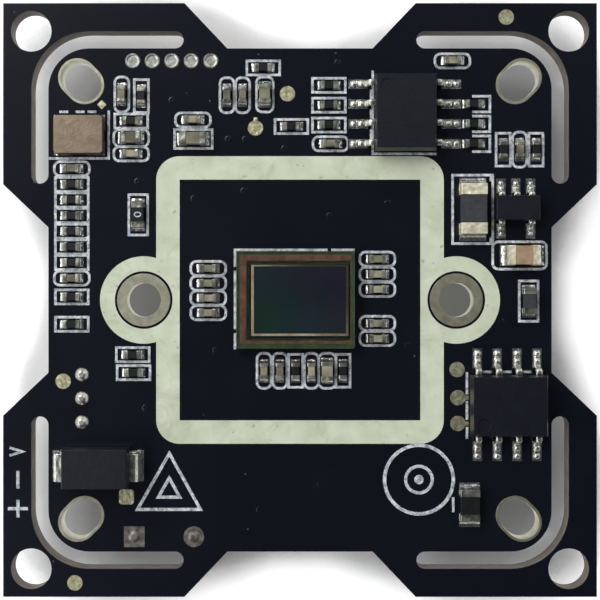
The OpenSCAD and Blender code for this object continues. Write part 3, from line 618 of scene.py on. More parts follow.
@dataclass(frozen=True)
class GreenPackage(Finish):
    """Green laminate of the sensor's base, smooth and clean: it shows as a thin dark green
    rim round the cover glass."""

    name: str = "green_package_laminate"
    colour: Mottle = Mottle("#2c4019", "#3d5827", 0.5)
    # The weave of its glass cloth is about 0.1 mm.
    grain: Grain = Grain(SHOWING_MM, 0.005)
    roughness: float = 0.4


@dataclass(frozen=True)
class BrownDamResin(Finish):
    """Brown resin dam, dispensed in a bead and cured under the glass: glossy, streaked."""

    name: str = "brown_dam_resin"
    colour: Mottle = Mottle("#634435", "#825b49", 0.45)
    grain: Grain = Grain(0.2, 0.01)
    roughness: float = 0.35


@dataclass(frozen=True)
class PolishedSilicon(Finish):
    """Margin of the silicon die, with its buried metal: dark olive brown, smooth."""

    name: str = "polished_silicon"
    colour: Mottle = Mottle("#12100b", "#241f15", 0.3)
    # The buried metal lines are about 0.002 mm.
    grain: Grain = Grain(SHOWING_MM, 0.0018)
    roughness: float = 0.25


@dataclass(frozen=True)
class SealRing(Finish):
    """Stacked metal rim of the die under clear passivation: a thin line with painted light
    and shade, lit pinkish cream at the lower left and shaded olive at the upper right."""

    name: str = "metal_seal_ring"
    # The ring's own tint, made pale by painted light on the side that faces the lamp.
    colour: Mottle = Mottle("#d3a58e", "#ecdab6", 0.6)
    # The stacked metal steps are about 0.005 mm.
    grain: Grain = Grain(SHOWING_MM, 0.0018)
    roughness: float = 0.35
    # Painted shade that the ring turns to at its upper right.
    painted_far_shade: str = "#4d4f33"
    turn_mm: float = 5.0

    def detail(self, canvas: Canvas) -> None:
        """Paints shade on the ring, darkening it from its lower left corner to its upper
        right one.
        """
        canvas.overlay(canvas.diagonal(self.turn_mm), linear(self.painted_far_shade))


@dataclass(frozen=True)
class ColourFilterArray(Finish):
    """Dyed resist, baked into a filter and a lens on each light cell: nearly black, with a
    painted sheen that turns from teal at the lower left to violet at the upper right."""

    name: str = "colour_filter_array"
    # Nearly black, tinted teal by a painted sheen.
    colour: Mottle = Mottle("#1a3d2e", "#1c3844", 2.5)
    # The lenses stand about 0.004 mm apart.
    grain: Grain = Grain(SHOWING_MM, 0.0018)
    roughness: float = 0.22
    # The painted violet sheen at the upper right.
    painted_far_sheen: Mottle = Mottle("#211f3c", "#2f2638", 2.5)
    turn_mm: float = 6.0

    def detail(self, canvas: Canvas) -> None:
        """Turns the painted sheen across the array, along its diagonal."""
        canvas.overlay(canvas.diagonal(self.turn_mm), self.painted_far_sheen.colour(canvas))


@dataclass(frozen=True)
class PolishedGlass(Finish):
    """Borosilicate cover glass, polished on both faces: clear, with a clean reflection."""

    name: str = "polished_cover_glass"
    colour: Mottle = Mottle("#eef4f2", "#f6faf8", 4.0)
    grain: Grain = Grain(2.0, 0.0002)
    roughness: float = 0.0
    ior: float = 1.47
    clarity: float = 1.0

    def detail(self, canvas: Canvas) -> None:
        """Lets the light through."""
        canvas.shader.inputs["Transmission Weight"].default_value = self.clarity


@dataclass(frozen=True)
class BrownCeramic(Finish):
    """Fired ceramic base of the crystal: matt brown."""

    name: str = "brown_crystal_ceramic"
    colour: Mottle = Mottle("#3c3026", "#4f4134", 0.4)
    # The fired grains are about 0.01 mm.
    grain: Grain = Grain(SHOWING_MM, 0.009)
    roughness: float = 0.6


@dataclass(frozen=True)
class GildedLid(MetalFinish):
    """Rolled lid with a thin gold flash: satin pinkish metal with a fine rolled grain, and
    a painted warm highlight where the rim is drawn down."""

    name: str = "gold_flashed_lid"
    colour: Mottle = Mottle("#8b7d6c", "#9f8f7b", 0.7, 5.0)
    # The rolled grain is about 0.02 mm.
    grain: Grain = Grain(SHOWING_MM, 0.01, 4.0)
    roughness: float = 0.4
    # A painted warm highlight on the rim.
    rim: str = "#f2c08a"
    # How far the face still looks up where the rim starts, and where it is all rim.
    flat_rise: float = 0.97
    rim_rise: float = 0.8

    def detail(self, canvas: Canvas) -> None:
        """Paints a warm highlight on the rim, where the surface turns down.

        Args:
            canvas: The material.
        """
        normal = add_node(canvas.tree, "ShaderNodeNewGeometry").outputs["Normal"]
        parts = add_node(canvas.tree, "ShaderNodeSeparateXYZ", {"Vector": normal})
        turned = add_node(
            canvas.tree,
            "ShaderNodeMapRange",
            {
                "Value": parts.outputs["Z"],
                "From Min": self.flat_rise,
                "From Max": self.rim_rise,
            },
        )
        canvas.overlay(turned.outputs["Result"], linear(self.rim))


@dataclass(frozen=True)
class CreamNylon(Finish):
    """Natural nylon, injection moulded: cream, waxy, with soft low spots."""

    name: str = "moulded_cream_nylon"
    colour: Mottle = Mottle("#d9d3c1", "#e8e3d3", 2.0)
    grain: Grain = Grain(0.2, 0.004)
    roughness: float = 0.48


@dataclass(frozen=True)
class PlatedBrass(MetalFinish):
    """Drawn brass pins with a tin flash: bright, pale yellow."""

    name: str = "tin_flashed_brass"
    colour: Mottle = Mottle("#b7ad86", "#d9d2b2", 0.3)
    # The drawing marks are about 0.03 mm.
    grain: Grain = Grain(SHOWING_MM, 0.006)
    roughness: float = 0.28


FINISHES: dict[Slot, Finish] = {
    Slot.SOLDER_MASK: BlackSolderMask(),
    Slot.FRAME_INK: CreamFrameInk(),
    Slot.OUTLINE_INK: WhiteOutlineInk(),
    Slot.TINNED_LAND: TinnedLand(),
    Slot.SOLDER: ReflowedSolder(),
    Slot.TINNED_LEAD: TinnedLead(),
    Slot.END_CAP: TinnedEndCap(),
    Slot.MOULD_BLACK: MouldedEpoxy(),
    Slot.RESISTOR_GLAZE: ResistorGlaze(),
    Slot.CAPACITOR_TAN: TanCeramic(),
    Slot.CAPACITOR_AMBER: AmberCeramic(),
    Slot.FERRITE: SinteredFerrite(),
    Slot.PACKAGE_GREEN: GreenPackage(),
    Slot.DAM_RESIN: BrownDamResin(),
    Slot.SILICON: PolishedSilicon(),
    Slot.PIXEL_FILTER: ColourFilterArray(),
    Slot.COVER_GLASS: PolishedGlass(),
    Slot.CRYSTAL_CERAMIC: BrownCeramic(),
    Slot.LID_METAL: GildedLid(),
    Slot.HOUSING_NYLON: CreamNylon(),
    Slot.PIN_METAL: PlatedBrass(),
}


# ---- meshes ----


@dataclass
class Piece:
    """One new piece of the board, drawn in millimetres in the frame of the model."""

    name: str
    slot: Slot
    other: Finish | None = None
    facets: int = 20
    mesh: bmesh.types.BMesh = field(default_factory=bmesh.new)

    def point(self, x: float, y: float, z: float) -> bmesh.types.BMVert:
        """Adds one point of the mesh."""
        return self.mesh.verts.new((x * MM, y * MM, z * MM))

    def ribbon(
        self,
        left: Sequence[Point],
        right: Sequence[Point],
        low: float,
        high: float,
        closed: bool = False,
    ) -> None:
        """Adds a flat ribbon between two lines of as many points.

        Args:
            left: The points of one edge.
            right: The points of the other edge.
            low: Height of the ribbon's underside.
            high: Height of its top.
            closed: Whether the last points join the first ones.
        """
        rails = [
            [self.point(x, y, z) for x, y in line]
            for line, z in ((left, low), (right, low), (right, high), (left, high))
        ]
        count = len(left)
        for i in range(count if closed else count - 1):
            j = (i + 1) % count
            for one, other in zip(rails, rails[1:] + rails[:1]):
                self.mesh.faces.new((one[i], one[j], other[j], other[i]))
        if not closed:
            for i in (0, count - 1):
                self.mesh.faces.new([rail[i] for rail in rails])

    def stroke(
        self,
        points: Sequence[Point],
        width: float,
        low: float,
        high: float,
        closed: bool = False,
    ) -> None:
        """Adds a line of even width through the points, mitred where it turns.

        Args:
            points: The middle of the line.
            width: Its width.
            low: Height of its underside.
            high: Height of its top.
            closed: Whether the line runs back to its first point.
        """
        count = len(points)
        path = [Vector(p) for p in points]
        left: list[Point] = []
        right: list[Point] = []
        for i, here in enumerate(path):
            before = path[i - 1] if closed or i else here
            after = path[(i + 1) % count] if closed or i < count - 1 else here
            into = (here - before).normalized() if before is not here else None
            out = (after - here).normalized() if after is not here else None
            way = ((into or out) + (out or into)).normalized()
            side = Vector((-way.y, way.x))
            straight = out or into
            lean = side.dot(Vector((-straight.y, straight.x)))
            offset = side * width / 2 / lean
            left.append(tuple(here + offset))
            right.append(tuple(here - offset))
        self.ribbon(left, right, low, high, closed)

    def turned(self, middle: Point, profile: Sequence[Point], base: float) -> None:
        """Adds a turned form on an upright axis.

        Args:
            middle: Place of the axis.
            profile: Radius and height of each ring, from the outside in; the last radius
                is 0.
            base: Height that the profile starts from.
        """
        rings = []
        for radius, height in profile:
            line = oval(middle, (radius, radius), self.facets) if radius else [middle]
            rings.append([self.point(x, y, base + height) for x, y in line])
        for outer, inner in zip(rings, rings[1:]):
            for i in range(self.facets):
                j = (i + 1) % self.facets
                tip = (inner[0],) if len(inner) == 1 else (inner[j], inner[i])
                self.mesh.faces.new((outer[i], outer[j], *tip))

    def make(self, smooth: bool = False) -> None:
        """Turns the drawn mesh into a piece that rides on the board.

        Args:
            smooth: Whether its faces are shaded as one curved surface.
        """
        bmesh.ops.recalc_face_normals(self.mesh, faces=self.mesh.faces)
        for face in self.mesh.faces:
            face.smooth = smooth
        data = bpy.data.meshes.new(self.name)
        self.mesh.to_mesh(data)
        self.mesh.free()
        obj = bpy.data.objects.new(self.name, data)
        bpy.context.scene.collection.objects.link(obj)
        data.materials.append((self.other or FINISHES[self.slot]).material())
        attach(obj, ROOT)
        LOG.info("%s: new piece, %d faces", self.name, len(data.polygons))


def oval(middle: Point, radii: Point, steps: int) -> list[Point]:
    """Lays points round an oval, in turn.

    Args:
        middle: Its middle.
        radii: Half its size in x and in y.
        steps: Number of points.

    Returns:
        The points.
    """
    turns = [math.tau * i / steps for i in range(steps)]
    return [
        (middle[0] + radii[0] * math.cos(t), middle[1] + radii[1] * math.sin(t))
        for t in turns
    ]


def corners(low: Point, high: Point) -> list[Point]:
    """The four corners of an upright rectangle, in turn."""
    return [low, (high[0], low[1]), high, (low[0], high[1])]


def inset(box: Box, widths: Sequence[float]) -> Box:
    """Draws the sides of a box in.

    Args:
        box: The box.
        widths: How far, at the left, bottom, right and top; below 0 is outward.

    Returns:
        The smaller box.
    """
    (x0, y0), (x1, y1) = box
    left, bottom, right, top = widths
    return (x0 + left, y0 + bottom), (x1 - right, y1 - top)


def flat_box(node: str) -> Box:
    """Lowest and highest x and y of a CAD node, in millimetres."""
    low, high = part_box(node)
    return (low[0] / MM, low[1] / MM), (high[0] / MM, high[1] / MM)


def top_of(node: str) -> float:
    """Height of a CAD node's top, in millimetres."""
    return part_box(node)[1][2] / MM


# ---- sub-assemblies ----


@dataclass
class Dressed:
    """A group of CAD nodes that are finished together, out of all nodes and their slots."""

    nodes: dict[str, bpy.types.Object]
    slots: dict[str, Slot]
    # Corners of a solid that lie closer than this are one corner.
    join_mm: float = 0.0001
    # Edges that turn less than this stay as they are.
    sharp_degrees: float = 40.0
    edge_steps: int = 2

    def dress(
        self,
        names: Iterable[str],
        edge_mm: float = 0.0,
        other: Finish | None = None,
        pillowed: bool = False,
    ) -> None:
        """Gives CAD nodes the finish of their material slot.

        Args:
            names: The nodes.
            edge_mm: Width of the rounding along their edges; 0 leaves them sharp.
            other: A finish to use instead of the slot's usual one.
            pillowed: Whether small faces are shaded as soft pillows, as plated metal is.
        """
        for name in names:
            node = self.nodes[name]
            finish = other or FINISHES[self.slots[name]]
            node.data.materials.clear()
            node.data.materials.append(finish.material())
            if edge_mm:
                self.round_edges(node, edge_mm, pillowed)
            LOG.info("%s: %s", name, finish.name)

    def round_edges(self, node: bpy.types.Object, edge_mm: float, pillowed: bool) -> None:
        """Rounds the sharp edges of a node by modifiers, so that they catch the light.

        Args:
            node: The node.
            edge_mm: Width of the rounding.
            pillowed: Whether the faces between the edges are shaded as soft pillows.
        """
        weld = node.modifiers.new("join_corners", "WELD")
        weld.merge_threshold = self.join_mm * MM
        bevel = node.modifiers.new("rounded_edges", "BEVEL")
        bevel.width = edge_mm * MM
        bevel.segments = self.edge_steps
        bevel.limit_method = "ANGLE"
        bevel.angle_limit = math.radians(self.sharp_degrees)
        bevel.harden_normals = not pillowed


@dataclass
class BareBoard(Dressed):
    """The board itself with its lands, its prints and what shows through its mask."""

    land_edge_mm: float = 0.012
    via_r: float = 0.2
    via_rise: float = 0.012
    # Radius and height of each ring of a via, as shares of via_r and via_rise.
    via_profile: tuple[Point, ...] = (
        (1.0, 0.0),
        (0.85, 0.7),
        (0.6, 1.0),
        (0.4, 0.8),
        (0.2, 0.15),
        (0.0, 0.0),
    )
    vias: tuple[Point, ...] = (
        (-8.2, 12.8),
        (-4.6, 10.3),
        (-3.5, 10.3),
        (-1.0, 9.7),
        (-6.8, 6.5),
        (-3.6, 7.0),
        (1.9, 5.4),
        (5.6, 6.2),
        (6.9, -2.9),
        (-5.4, -3.2),
        (-10.4, 7.6),
        (-9.9, -6.9),
        (12.9, -1.4),
        (2.4, 15.2),
        (1.3, -11.8),
        (-2.6, -13.4),
    )

    def build(self) -> None:
        """Dresses the board and adds its vias."""
        self.dress(["circuit_board"])
        self.dress(["lens_footprint_print", "component_outline_print"])
        self.dress(["lens_screw_lands", "mounting_slot_lands"], self.land_edge_mm)
        self.dress(["test_pads"], self.land_edge_mm, ProbedPad())
        self.dress(["wire_pads"], self.land_edge_mm, StainedLand())
        self.dress(["header_solder_joints"], other=HandSolder())
        for side in Side:
            self.tent_vias(side)

    def tent_vias(self, side: Side) -> None:
        """Adds the dimpled bumps of vias that the mask covers.

        Args:
            side: The face of the board.
        """
        piece = Piece(f"{side.name.lower()}_tented_vias", Slot.SOLDER_MASK)
        low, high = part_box("circuit_board")
        face = (high if side is Side.SENSOR else low)[2] / MM
        rise = self.via_rise * side.value
        profile = [(self.via_r * r, rise * height) for r, height in self.via_profile]
        for place in self.vias:
            piece.turned(place, profile, face)
        piece.make(smooth=True)


@dataclass
class PrintedMarks(Dressed):
    """Plain printed marks: wire polarity, a triangle and a target, and a jumper's zero.

    The board's sensor face, which they lie on, is at a height of 0.
    """

    ink_t: float = 0.03
    line_w: float = 0.2
    edge_gap: float = 0.95
    arrow_y: float = -9.7
    arrow_size: Point = (0.8, 0.5)
    arrow_back: float = 0.13
    arrow_line_w: float = 0.16
    minus_y: float = -11.49
    minus_l: float = 1.14
    plus_y: float = -13.35
    plus_size: Point = (1.28, 1.13)
    triangle_top: Point = (-8.36, -9.62)
    triangle_base: tuple[float, float, float] = (-10.72, -6.05, -13.5)
    # A line's outer corner at the triangle's foot lies this many widths past its middle.
    foot_widths: float = 1.6
    inner_share: float = 0.34
    target_middle: Point = (7.61, -11.49)
    target_r: float = 2.2
    target_line_w: float = 0.22
    target_inner_r: float = 0.85
    target_dot_r: float = 0.3
    target_steps: int = 64
    zero_radii: Point = (0.2, 0.14)
    zero_line_w: float = 0.07
    zero_ink_t: float = 0.01
    zero_steps: int = 24

    def build(self) -> None:
        """Prints the marks on the sensor side."""
        self.polarity()
        self.triangle()
        self.target()
        self.zero()

    def polarity(self) -> None:
        """Prints an arrow, a minus and a plus for the three wires, along the left edge."""
        piece = Piece("wire_polarity_marks", Slot.OUTLINE_INK)
        low, _ = flat_box("circuit_board")
        x = low[0] + self.edge_gap
        half_l, half_w = self.arrow_size[0] / 2, self.arrow_size[1] / 2
        tail, tip = x - half_l - self.arrow_back, x + half_l - self.arrow_back
        arrow = [
            (tail, self.arrow_y + half_w),
            (tip, self.arrow_y),
            (tail, self.arrow_y - half_w),
        ]
        piece.stroke(arrow, self.arrow_line_w, 0.0, self.ink_t)
        arm, upright = self.plus_size
        for y, length in ((self.minus_y, self.minus_l), (self.plus_y, upright)):
            bar = [(x, y - length / 2), (x, y + length / 2)]
            piece.stroke(bar, self.line_w, 0.0, self.ink_t)
        for way in (-1, 1):
            start, end = x + way * self.line_w / 2, x + way * arm / 2
            bar = [(start, self.plus_y), (end, self.plus_y)]
            piece.stroke(bar, self.line_w, 0.0, self.ink_t)
        piece.make()

    def triangle(self) -> None:
        """Prints a plain triangle with a smaller one inside it."""
        piece = Piece("triangle_mark", Slot.OUTLINE_INK)
        left, right, base = self.triangle_base
        foot = self.line_w * self.foot_widths
        outline = [
            (left + foot, base + self.line_w / 2),
            (right - foot, base + self.line_w / 2),
            (self.triangle_top[0], self.triangle_top[1] - self.line_w),
        ]
        middle = Vector([sum(way) / len(outline) for way in zip(*outline)])
        inner = [tuple(middle + (Vector(p) - middle) * self.inner_share) for p in outline]
        for line in (outline, inner):
            piece.stroke(line, self.line_w, 0.0, self.ink_t, closed=True)
        piece.make()

    def target(self) -> None:
        """Prints a ring with a smaller ring and a dot at its middle."""
        piece = Piece("target_mark", Slot.OUTLINE_INK)
        for r, width in (
            (self.target_r, self.target_line_w),
            (self.target_inner_r, self.line_w),
        ):
            outer, inner = (
                oval(self.target_middle, (edge, edge), self.target_steps)
                for edge in (r + width / 2, r - width / 2)
            )
            piece.ribbon(outer, inner, 0.0, self.ink_t, closed=True)
        dot = (
            (self.target_dot_r, 0.0),
            (self.target_dot_r, self.ink_t),
            (0.0, self.ink_t),
        )
        piece.turned(self.target_middle, dot, 0.0)
        piece.make()

    def zero(self) -> None:
        """Prints the zero on the jumper link."""
        piece = Piece("jumper_zero_mark", Slot.OUTLINE_INK)
        low, high = flat_box("jumper_link_body")
        middle = ((low[0] + high[0]) / 2, (low[1] + high[1]) / 2)
        line = oval(middle, self.zero_radii, self.zero_steps)
        top = top_of("jumper_link_body")
        piece.stroke(line, self.zero_line_w, top, top + self.zero_ink_t, closed=True)
        piece.make()


@dataclass
class ImageSensor(Dressed):
    """The sensor package: balls, base, die, dam and glass, with the rims of its layers.

    The widths of each rim are at the left, bottom, right and top.
    """

    rim_t: float = 0.006
    green_rim: Sides = (0.2, 0.3, 0.2, 0.2)
    dam_wall: Sides = (0.62, 0.5, 0.26, 0.6)
    seal_ring: Sides = (0.17, 0.15, 0.14, 0.1)
    glass_edge_mm: float = 0.03

    def build(self) -> None:
        """Dresses the sensor and adds the rims of its layers, seen through the glass."""
        self.dress(["sensor_solder_balls", "sensor_base", "sensor_dam"])
        self.dress(["sensor_die", "pixel_array"])
        self.dress(["sensor_cover_glass"], self.glass_edge_mm)
        dam = flat_box("sensor_dam")
        rim, wall = inset(dam, self.green_rim), inset(dam, self.dam_wall)
        self.frame("sensor_green_rim", dam, rim, "sensor_dam", Slot.PACKAGE_GREEN)
        self.frame("dam_bond_line", rim, wall, "sensor_dam", Slot.DAM_RESIN)
        array = flat_box("pixel_array")
        ring = inset(array, [-width for width in self.seal_ring])
        self.frame("die_seal_ring", ring, array, "sensor_die", Slot.SILICON, SealRing())

    def frame(
        self,
        name: str,
        outer: Box,
        inner: Box,
        node: str,
        slot: Slot,
        other: Finish | None = None,
    ) -> None:
        """Adds a thin flat frame on top of a node, round the middle of the sensor.

        Args:
            name: The piece's name.
            outer: Its outer edge.
            inner: Its inner edge.
            node: The CAD node that it lies on.
            slot: Its material slot.
            other: A finish to use instead of the slot's usual one.
        """
        piece = Piece(name, slot, other)
        face = top_of(node)
        edges = corners(*outer), corners(*inner)
        piece.ribbon(*edges, face, face + self.rim_t, closed=True)
        piece.make()


@dataclass
class Crystal(Dressed):
    """The crystal in its ceramic base with a metal lid."""

    edge_mm: float = 0.22

    def build(self) -> None:
        """Dresses the crystal."""
        self.dress(["crystal_base", "crystal_lid"], self.edge_mm)


@dataclass
class EndCapChips(Dressed):
    """Resistors, capacitors, beads and the jumper: bodies between two end caps."""

    large: tuple[str, ...] = ("ferrite_bead", "bulk_capacitor")
    single: tuple[str, ...] = ("load_resistor", "jumper_link", "small_bead")
    rows: tuple[str, ...] = ("small_resistor", "small_capacitor", "filter_capacitor")
    body_edge_mm: float = 0.03
    cap_edge_mm: float = 0.09
    large_cap_edge_mm: float = 0.16

    def build(self) -> None:
        """Dresses the chips and their solder."""
        bodies = [f"{kind}_body" for kind in self.large + self.single]
        self.dress(bodies + [f"{row}_bodies" for row in self.rows], self.body_edge_mm)
        caps = [f"{kind}_terminals" for kind in self.large]
        self.dress(caps, self.large_cap_edge_mm, WarmEndCap(), pillowed=True)
        caps = [f"{kind}_terminals" for kind in self.single + self.rows]
        self.dress(caps, self.cap_edge_mm, pillowed=True)
        self.dress(["chip_solder"])


@dataclass(frozen=True)
class LeadRows:
    """Where the leads of one chip stand, and where solder wets them.

    The places are counted in pitches from the chip's middle, and the last three lengths
    from the end of the leads.
    """

    chip: str
    pitch: float
    high_side: tuple[float, ...] = (-1.5, -0.5, 0.5, 1.5)
    low_side: tuple[float, ...] = (-1.5, -0.5, 0.5, 1.5)
    bead_r: float = 0.24
    toe_out: float = 0.27
    foot_in: float = 0.24
    shoulder_in: float = 0.86


@dataclass
class LeadedChips(Dressed):
    """The two eight-lead chips, the small regulator and the diode."""

    chips: tuple[str, ...] = ("memory_chip", "video_driver", "regulator")
    body_edge_mm: float = 0.04
    lead_edge_mm: float = 0.1
    rows: tuple[LeadRows, ...] = (
        LeadRows("memory_chip", 1.27),
        LeadRows("video_driver", 1.27),
        LeadRows(
            "regulator",
            0.95,
            high_side=(-1.0, 0.0, 1.0),
            low_side=(-1.0, 1.0),
            bead_r=0.18,
            toe_out=0.2,
            foot_in=0.14,
            shoulder_in=0.5,
        ),
    )
    toe_base: float = 0.04
    toe_rise: float = 0.2
    foot_share: float = 0.85
    foot_base: float = 0.2
    foot_rise: float = 0.1
    shoulder_share: float = 0.8
    shoulder_sink: float = 0.02
    shoulder_rise: float = 0.06
    dome_steps: int = 6

    def build(self) -> None:
        """Dresses the chips, their leads and their solder."""
        bodies = [f"{chip}_body" for chip in (*self.chips, "diode")]
        self.dress(bodies, self.body_edge_mm)
        leads = [f"{chip}_leads" for chip in self.chips]
        self.dress([*leads, "diode_terminals"], self.lead_edge_mm, pillowed=True)
        self.dress(["lead_solder"])
        for row in self.rows:
            self.bead(row)

    def bead(self, row: LeadRows) -> None:
        """Adds the rounded solder that wets the toe, foot and shoulder of every lead.

        Args:
            row: Where the leads of the chip stand.
        """
        piece = Piece(f"{row.chip}_solder_beads", Slot.SOLDER, HandSolder())
        leads, body = flat_box(f"{row.chip}_leads"), flat_box(f"{row.chip}_body")
        along = 0 if leads[1][0] > body[1][0] else 1
        middle = (body[0][1 - along] + body[1][1 - along]) / 2
        shoulder = top_of(f"{row.chip}_leads") - self.shoulder_sink
        ends = (
            (leads[1][along], 1, row.high_side),
            (leads[0][along], -1, row.low_side),
        )
        domes = (
            (row.toe_out, 1.0, self.toe_base, self.toe_rise),
            (-row.foot_in, self.foot_share, self.foot_base, self.foot_rise),
            (-row.shoulder_in, self.shoulder_share, shoulder, self.shoulder_rise),
        )
        for end, out, places in ends:
            for step in places:
                across = middle + step * row.pitch
                for reach, share, base, rise in domes:
                    place = (end + out * reach, across)
                    dome = self.dome(row.bead_r * share, rise)
                    piece.turned(place if along == 0 else place[::-1], dome, base)
        piece.make(smooth=True)

    def dome(self, radius: float, rise: float) -> list[Point]:
        """The rings of a dome, from its foot to its tip.

        Args:
            radius: Radius of its foot.
            rise: Its height.

        Returns:
            Radius and height of each ring.
        """
        turns = [math.pi / 2 * i / self.dome_steps for i in range(self.dome_steps)]
        rings = [(radius * math.cos(t), rise * math.sin(t)) for t in turns]
        return [*rings, (0.0, rise)]


@dataclass
class BackSide(Dressed):
    """What stands on the back: headers, processor, inductor, regulator and capacitors."""

    plain: tuple[str, ...] = (
        "image_processor_body",
        "step_down_regulator_body",
        "power_inductor_body",
        "power_inductor_terminals",
        "back_capacitor_bodies",
        "back_capacitor_terminals",
        "signal_header_housing",
        "signal_header_pins",
        "power_header_housing",
        "power_header_pins",
    )
    fine: tuple[str, ...] = ("image_processor_leads", "step_down_regulator_leads")
    edge_mm: float = 0.05
    fine_edge_mm: float = 0.02

    def build(self) -> None:
        """Dresses the back."""
        self.dress(self.plain, self.edge_mm)
        self.dress(self.fine, self.fine_edge_mm)
        self.dress(["back_solder"])


# ---- studio ----


def bounced(tree: bpy.types.NodeTree, path: bpy.types.Node) -> Socket:
    """Adds a test for light that comes off a gloss or through glass.

    Args:
        tree: The node tree.
        path: Its Light Path node.

    Returns:
        The socket that carries 1 for such light and 0 for any other.
    """
    test = add_node(
        tree,
        "ShaderNodeMath",
        {0: path.outputs["Is Glossy Ray"], 1: path.outputs["Is Transmission Ray"]},
        operation="MAXIMUM",
    )
    return test.outputs["Value"]


@dataclass(frozen=True)
class Softbox:
    """A square lamp with a cloth front, that faces the board; its sizes are in metres."""

    name: str
    azimuth: float
    elevation: float
    share: float
    size: float = 0.22
    distance: float = 0.32

    def build(self) -> None:
        """Hangs the lamp; it gives its share of the light that makes white paper white."""
        rise = math.radians(self.elevation)
        turn = math.radians(self.azimuth)
        level = math.cos(rise)
        away = Vector((level * math.cos(turn), level * math.sin(turn), math.sin(rise)))
        lamp = bpy.data.lights.new(self.name, "AREA")
        lamp.shape = "SQUARE"
        lamp.size = self.size
        # White paper looks white at an irradiance of pi, and the lamp gives it
        # energy * sin(rise) / (pi * distance**2).
        lamp.energy = self.share * math.pi**2 * self.distance**2 / abs(math.sin(rise))
        holder = bpy.data.objects.new(self.name, lamp)
        holder.location = away * self.distance
        holder.rotation_euler = away.to_track_quat("Z", "Y").to_euler()
        bpy.context.scene.collection.objects.link(holder)


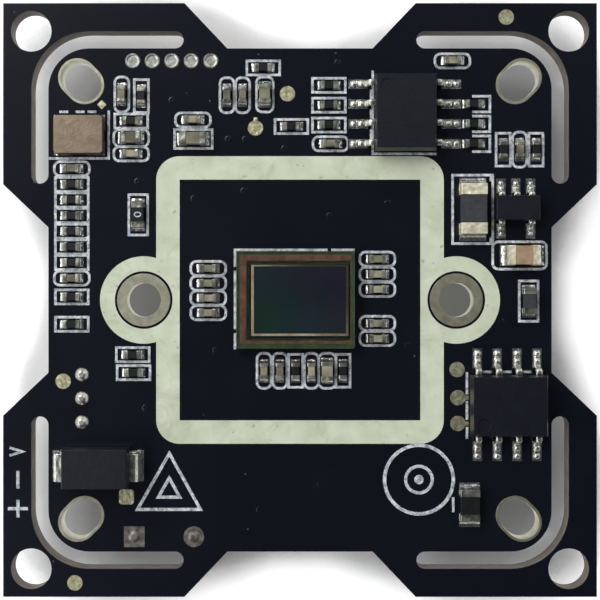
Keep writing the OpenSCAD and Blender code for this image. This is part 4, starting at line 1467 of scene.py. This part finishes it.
@dataclass(frozen=True)
class Studio:
    """Floor, lamps, surroundings and the camera that looks straight down."""

    camera_height_mm: float = 93.0
    view_mm: float = 38.4
    film_mm: float = 36.0
    nearest_mm: float = 5.0
    floor_r_mm: float = 3000.0
    floor_steps: int = 96
    floor_colour: str = "#d8d8d8"
    floor_roughness: float = 0.9
    white: str = "#ffffff"
    # How strongly the floor glows to the camera under the board, and in the open. The
    # weaker glow under the board is painted shade.
    covered_glow: float = 0.06
    open_glow: float = 0.9
    # The share of the sky that is clear at those two places, out to reach_mm.
    covered_sky: float = 0.78
    open_sky: float = 0.9
    reach_mm: float = 5.0
    sky_samples: int = 16
    surround: str = "#3e4046"
    horizon_rise: float = 0.3
    softboxes: tuple[Softbox, ...] = (
        Softbox("key_softbox", 135.0, 43.0, 0.58),
        Softbox("left_softbox", 200.0, 42.0, 0.3),
        Softbox("right_softbox", 45.0, 42.0, 0.14),
        Softbox("underside_softbox", 20.0, -55.0, 0.28),
    )

    def build(self, low_z: float) -> None:
        """Sets up the studio round the board.

        Args:
            low_z: Height of the board's lowest point, in metres.
        """
        self.place_camera()
        self.lay_floor(low_z)
        for softbox in self.softboxes:
            softbox.build()
        bpy.context.scene.world = self.surroundings()
        bpy.context.scene.view_settings.view_transform = "Standard"

    def surroundings(self) -> bpy.types.World:
        """A dim room that the camera sees as white, as metal and glass do at the horizon.

        Returns:
            The world.
        """
        world = bpy.data.worlds.new("dim_surroundings")
        world.use_nodes = True
        tree = world.node_tree
        room = tree.nodes["Background"]
        room.inputs["Color"].default_value = linear(self.surround)
        way = add_node(tree, "ShaderNodeTexCoord").outputs["Generated"]
        rise = add_node(tree, "ShaderNodeSeparateXYZ", {"Vector": way}).outputs["Z"]
        horizon = add_node(
            tree, "ShaderNodeMath", {0: rise, 1: self.horizon_rise}, operation="LESS_THAN"
        )
        path = add_node(tree, "ShaderNodeLightPath")
        low = add_node(
            tree,
            "ShaderNodeMath",
            {0: bounced(tree, path), 1: horizon.outputs["Value"]},
            operation="MULTIPLY",
        )
        seen = add_node(
            tree,
            "ShaderNodeMath",
            {0: path.outputs["Is Camera Ray"], 1: low.outputs["Value"]},
            operation="MAXIMUM",
        )
        backdrop = add_node(tree, "ShaderNodeBackground", {"Color": linear(self.white)})
        both = add_node(
            tree,
            "ShaderNodeMixShader",
            {
                0: seen.outputs["Value"],
                1: room.outputs["Background"],
                2: backdrop.outputs["Background"],
            },
        )
        output = tree.nodes["World Output"]
        tree.links.new(both.outputs["Shader"], output.inputs["Surface"])
        return world

    def place_camera(self) -> None:
        """Hangs the camera over the middle of the board."""
        data = bpy.data.cameras.new("overhead_camera")
        data.sensor_width = self.film_mm
        data.lens = self.film_mm * self.camera_height_mm / self.view_mm
        data.clip_start = self.nearest_mm * MM
        camera = bpy.data.objects.new("overhead_camera", data)
        camera.location = (0.0, 0.0, self.camera_height_mm * MM)
        bpy.context.scene.collection.objects.link(camera)
        bpy.context.scene.camera = camera

    def lay_floor(self, low_z: float) -> None:
        """Lays a wide pale floor under the board.

        Args:
            low_z: Height of the floor, in metres.
        """
        mesh = bmesh.new()
        bmesh.ops.create_circle(
            mesh, cap_ends=True, radius=self.floor_r_mm * MM, segments=self.floor_steps
        )
        data = bpy.data.meshes.new("pale_floor")
        mesh.to_mesh(data)
        mesh.free()
        floor = bpy.data.objects.new("pale_floor", data)
        floor.location.z = low_z
        bpy.context.scene.collection.objects.link(floor)
        data.materials.append(self.white_paper())

    def white_paper(self) -> bpy.types.Material:
        """Paper that the camera, metal and glass see as white, with the lamps' shadow kept.
        Where the board covers it, ambient occlusion dims its glow: painted shade.

        It lets the lamp below it through, and shows nothing of itself from below.

        Returns:
            The material.
        """
        material = bpy.data.materials.new("white_paper")
        material.use_nodes = True
        tree = material.node_tree
        shader = tree.nodes["Principled BSDF"]
        shader.inputs["Base Color"].default_value = linear(self.floor_colour)
        shader.inputs["Roughness"].default_value = self.floor_roughness
        shader.inputs["Emission Color"].default_value = linear(self.white)
        # Ambient occlusion dims the floor's glow under the board: painted shade.
        sky = add_node(
            tree,
            "ShaderNodeAmbientOcclusion",
            {"Distance": self.reach_mm * MM},
            samples=self.sky_samples,
        )
        painted_shade_glow = add_node(
            tree,
            "ShaderNodeMapRange",
            {
                "Value": sky.outputs["AO"],
                "From Min": self.covered_sky,
                "From Max": self.open_sky,
                "To Min": self.covered_glow,
                "To Max": self.open_glow,
            },
        )
        path = add_node(tree, "ShaderNodeLightPath")
        camera = path.outputs["Is Camera Ray"]
        seen = add_node(
            tree,
            "ShaderNodeMath",
            {0: painted_shade_glow.outputs["Result"], 1: camera},
            operation="MULTIPLY",
        )
        strength = add_node(
            tree,
            "ShaderNodeMath",
            {0: bounced(tree, path), 1: self.open_glow, 2: seen.outputs["Value"]},
            operation="MULTIPLY_ADD",
        )
        tree.links.new(strength.outputs["Value"], shader.inputs["Emission Strength"])
        back = add_node(tree, "ShaderNodeNewGeometry").outputs["Backfacing"]
        below = add_node(tree, "ShaderNodeMath", {0: back, 1: camera}, operation="MULTIPLY")
        clear = add_node(
            tree,
            "ShaderNodeMath",
            {0: below.outputs["Value"], 1: path.outputs["Is Shadow Ray"]},
            operation="MAXIMUM",
        )
        one_sided = add_node(
            tree,
            "ShaderNodeMixShader",
            {
                0: clear.outputs["Value"],
                1: shader.outputs["BSDF"],
                2: add_node(tree, "ShaderNodeBsdfTransparent").outputs["BSDF"],
            },
        )
        output = tree.nodes["Material Output"]
        tree.links.new(one_sided.outputs["Shader"], output.inputs["Surface"])
        return material


def main() -> None:
    """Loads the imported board, dresses it, adds its fine detail and sets up the studio."""
    logging.basicConfig(level=logging.INFO, format="%(name)s: %(message)s")
    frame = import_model()
    nodes = frame["nodes"]
    slots = {
        part["node"]: Slot(part["material_slot"]) for part in frame["record"]["subparts"]
    }
    assemblies = (
        BareBoard,
        PrintedMarks,
        ImageSensor,
        Crystal,
        EndCapChips,
        LeadedChips,
        BackSide,
    )
    for assembly in assemblies:
        assembly(nodes, slots).build()
    Studio().build(min(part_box(name)[0][2] for name in nodes))


if __name__ == "__main__":
    main()
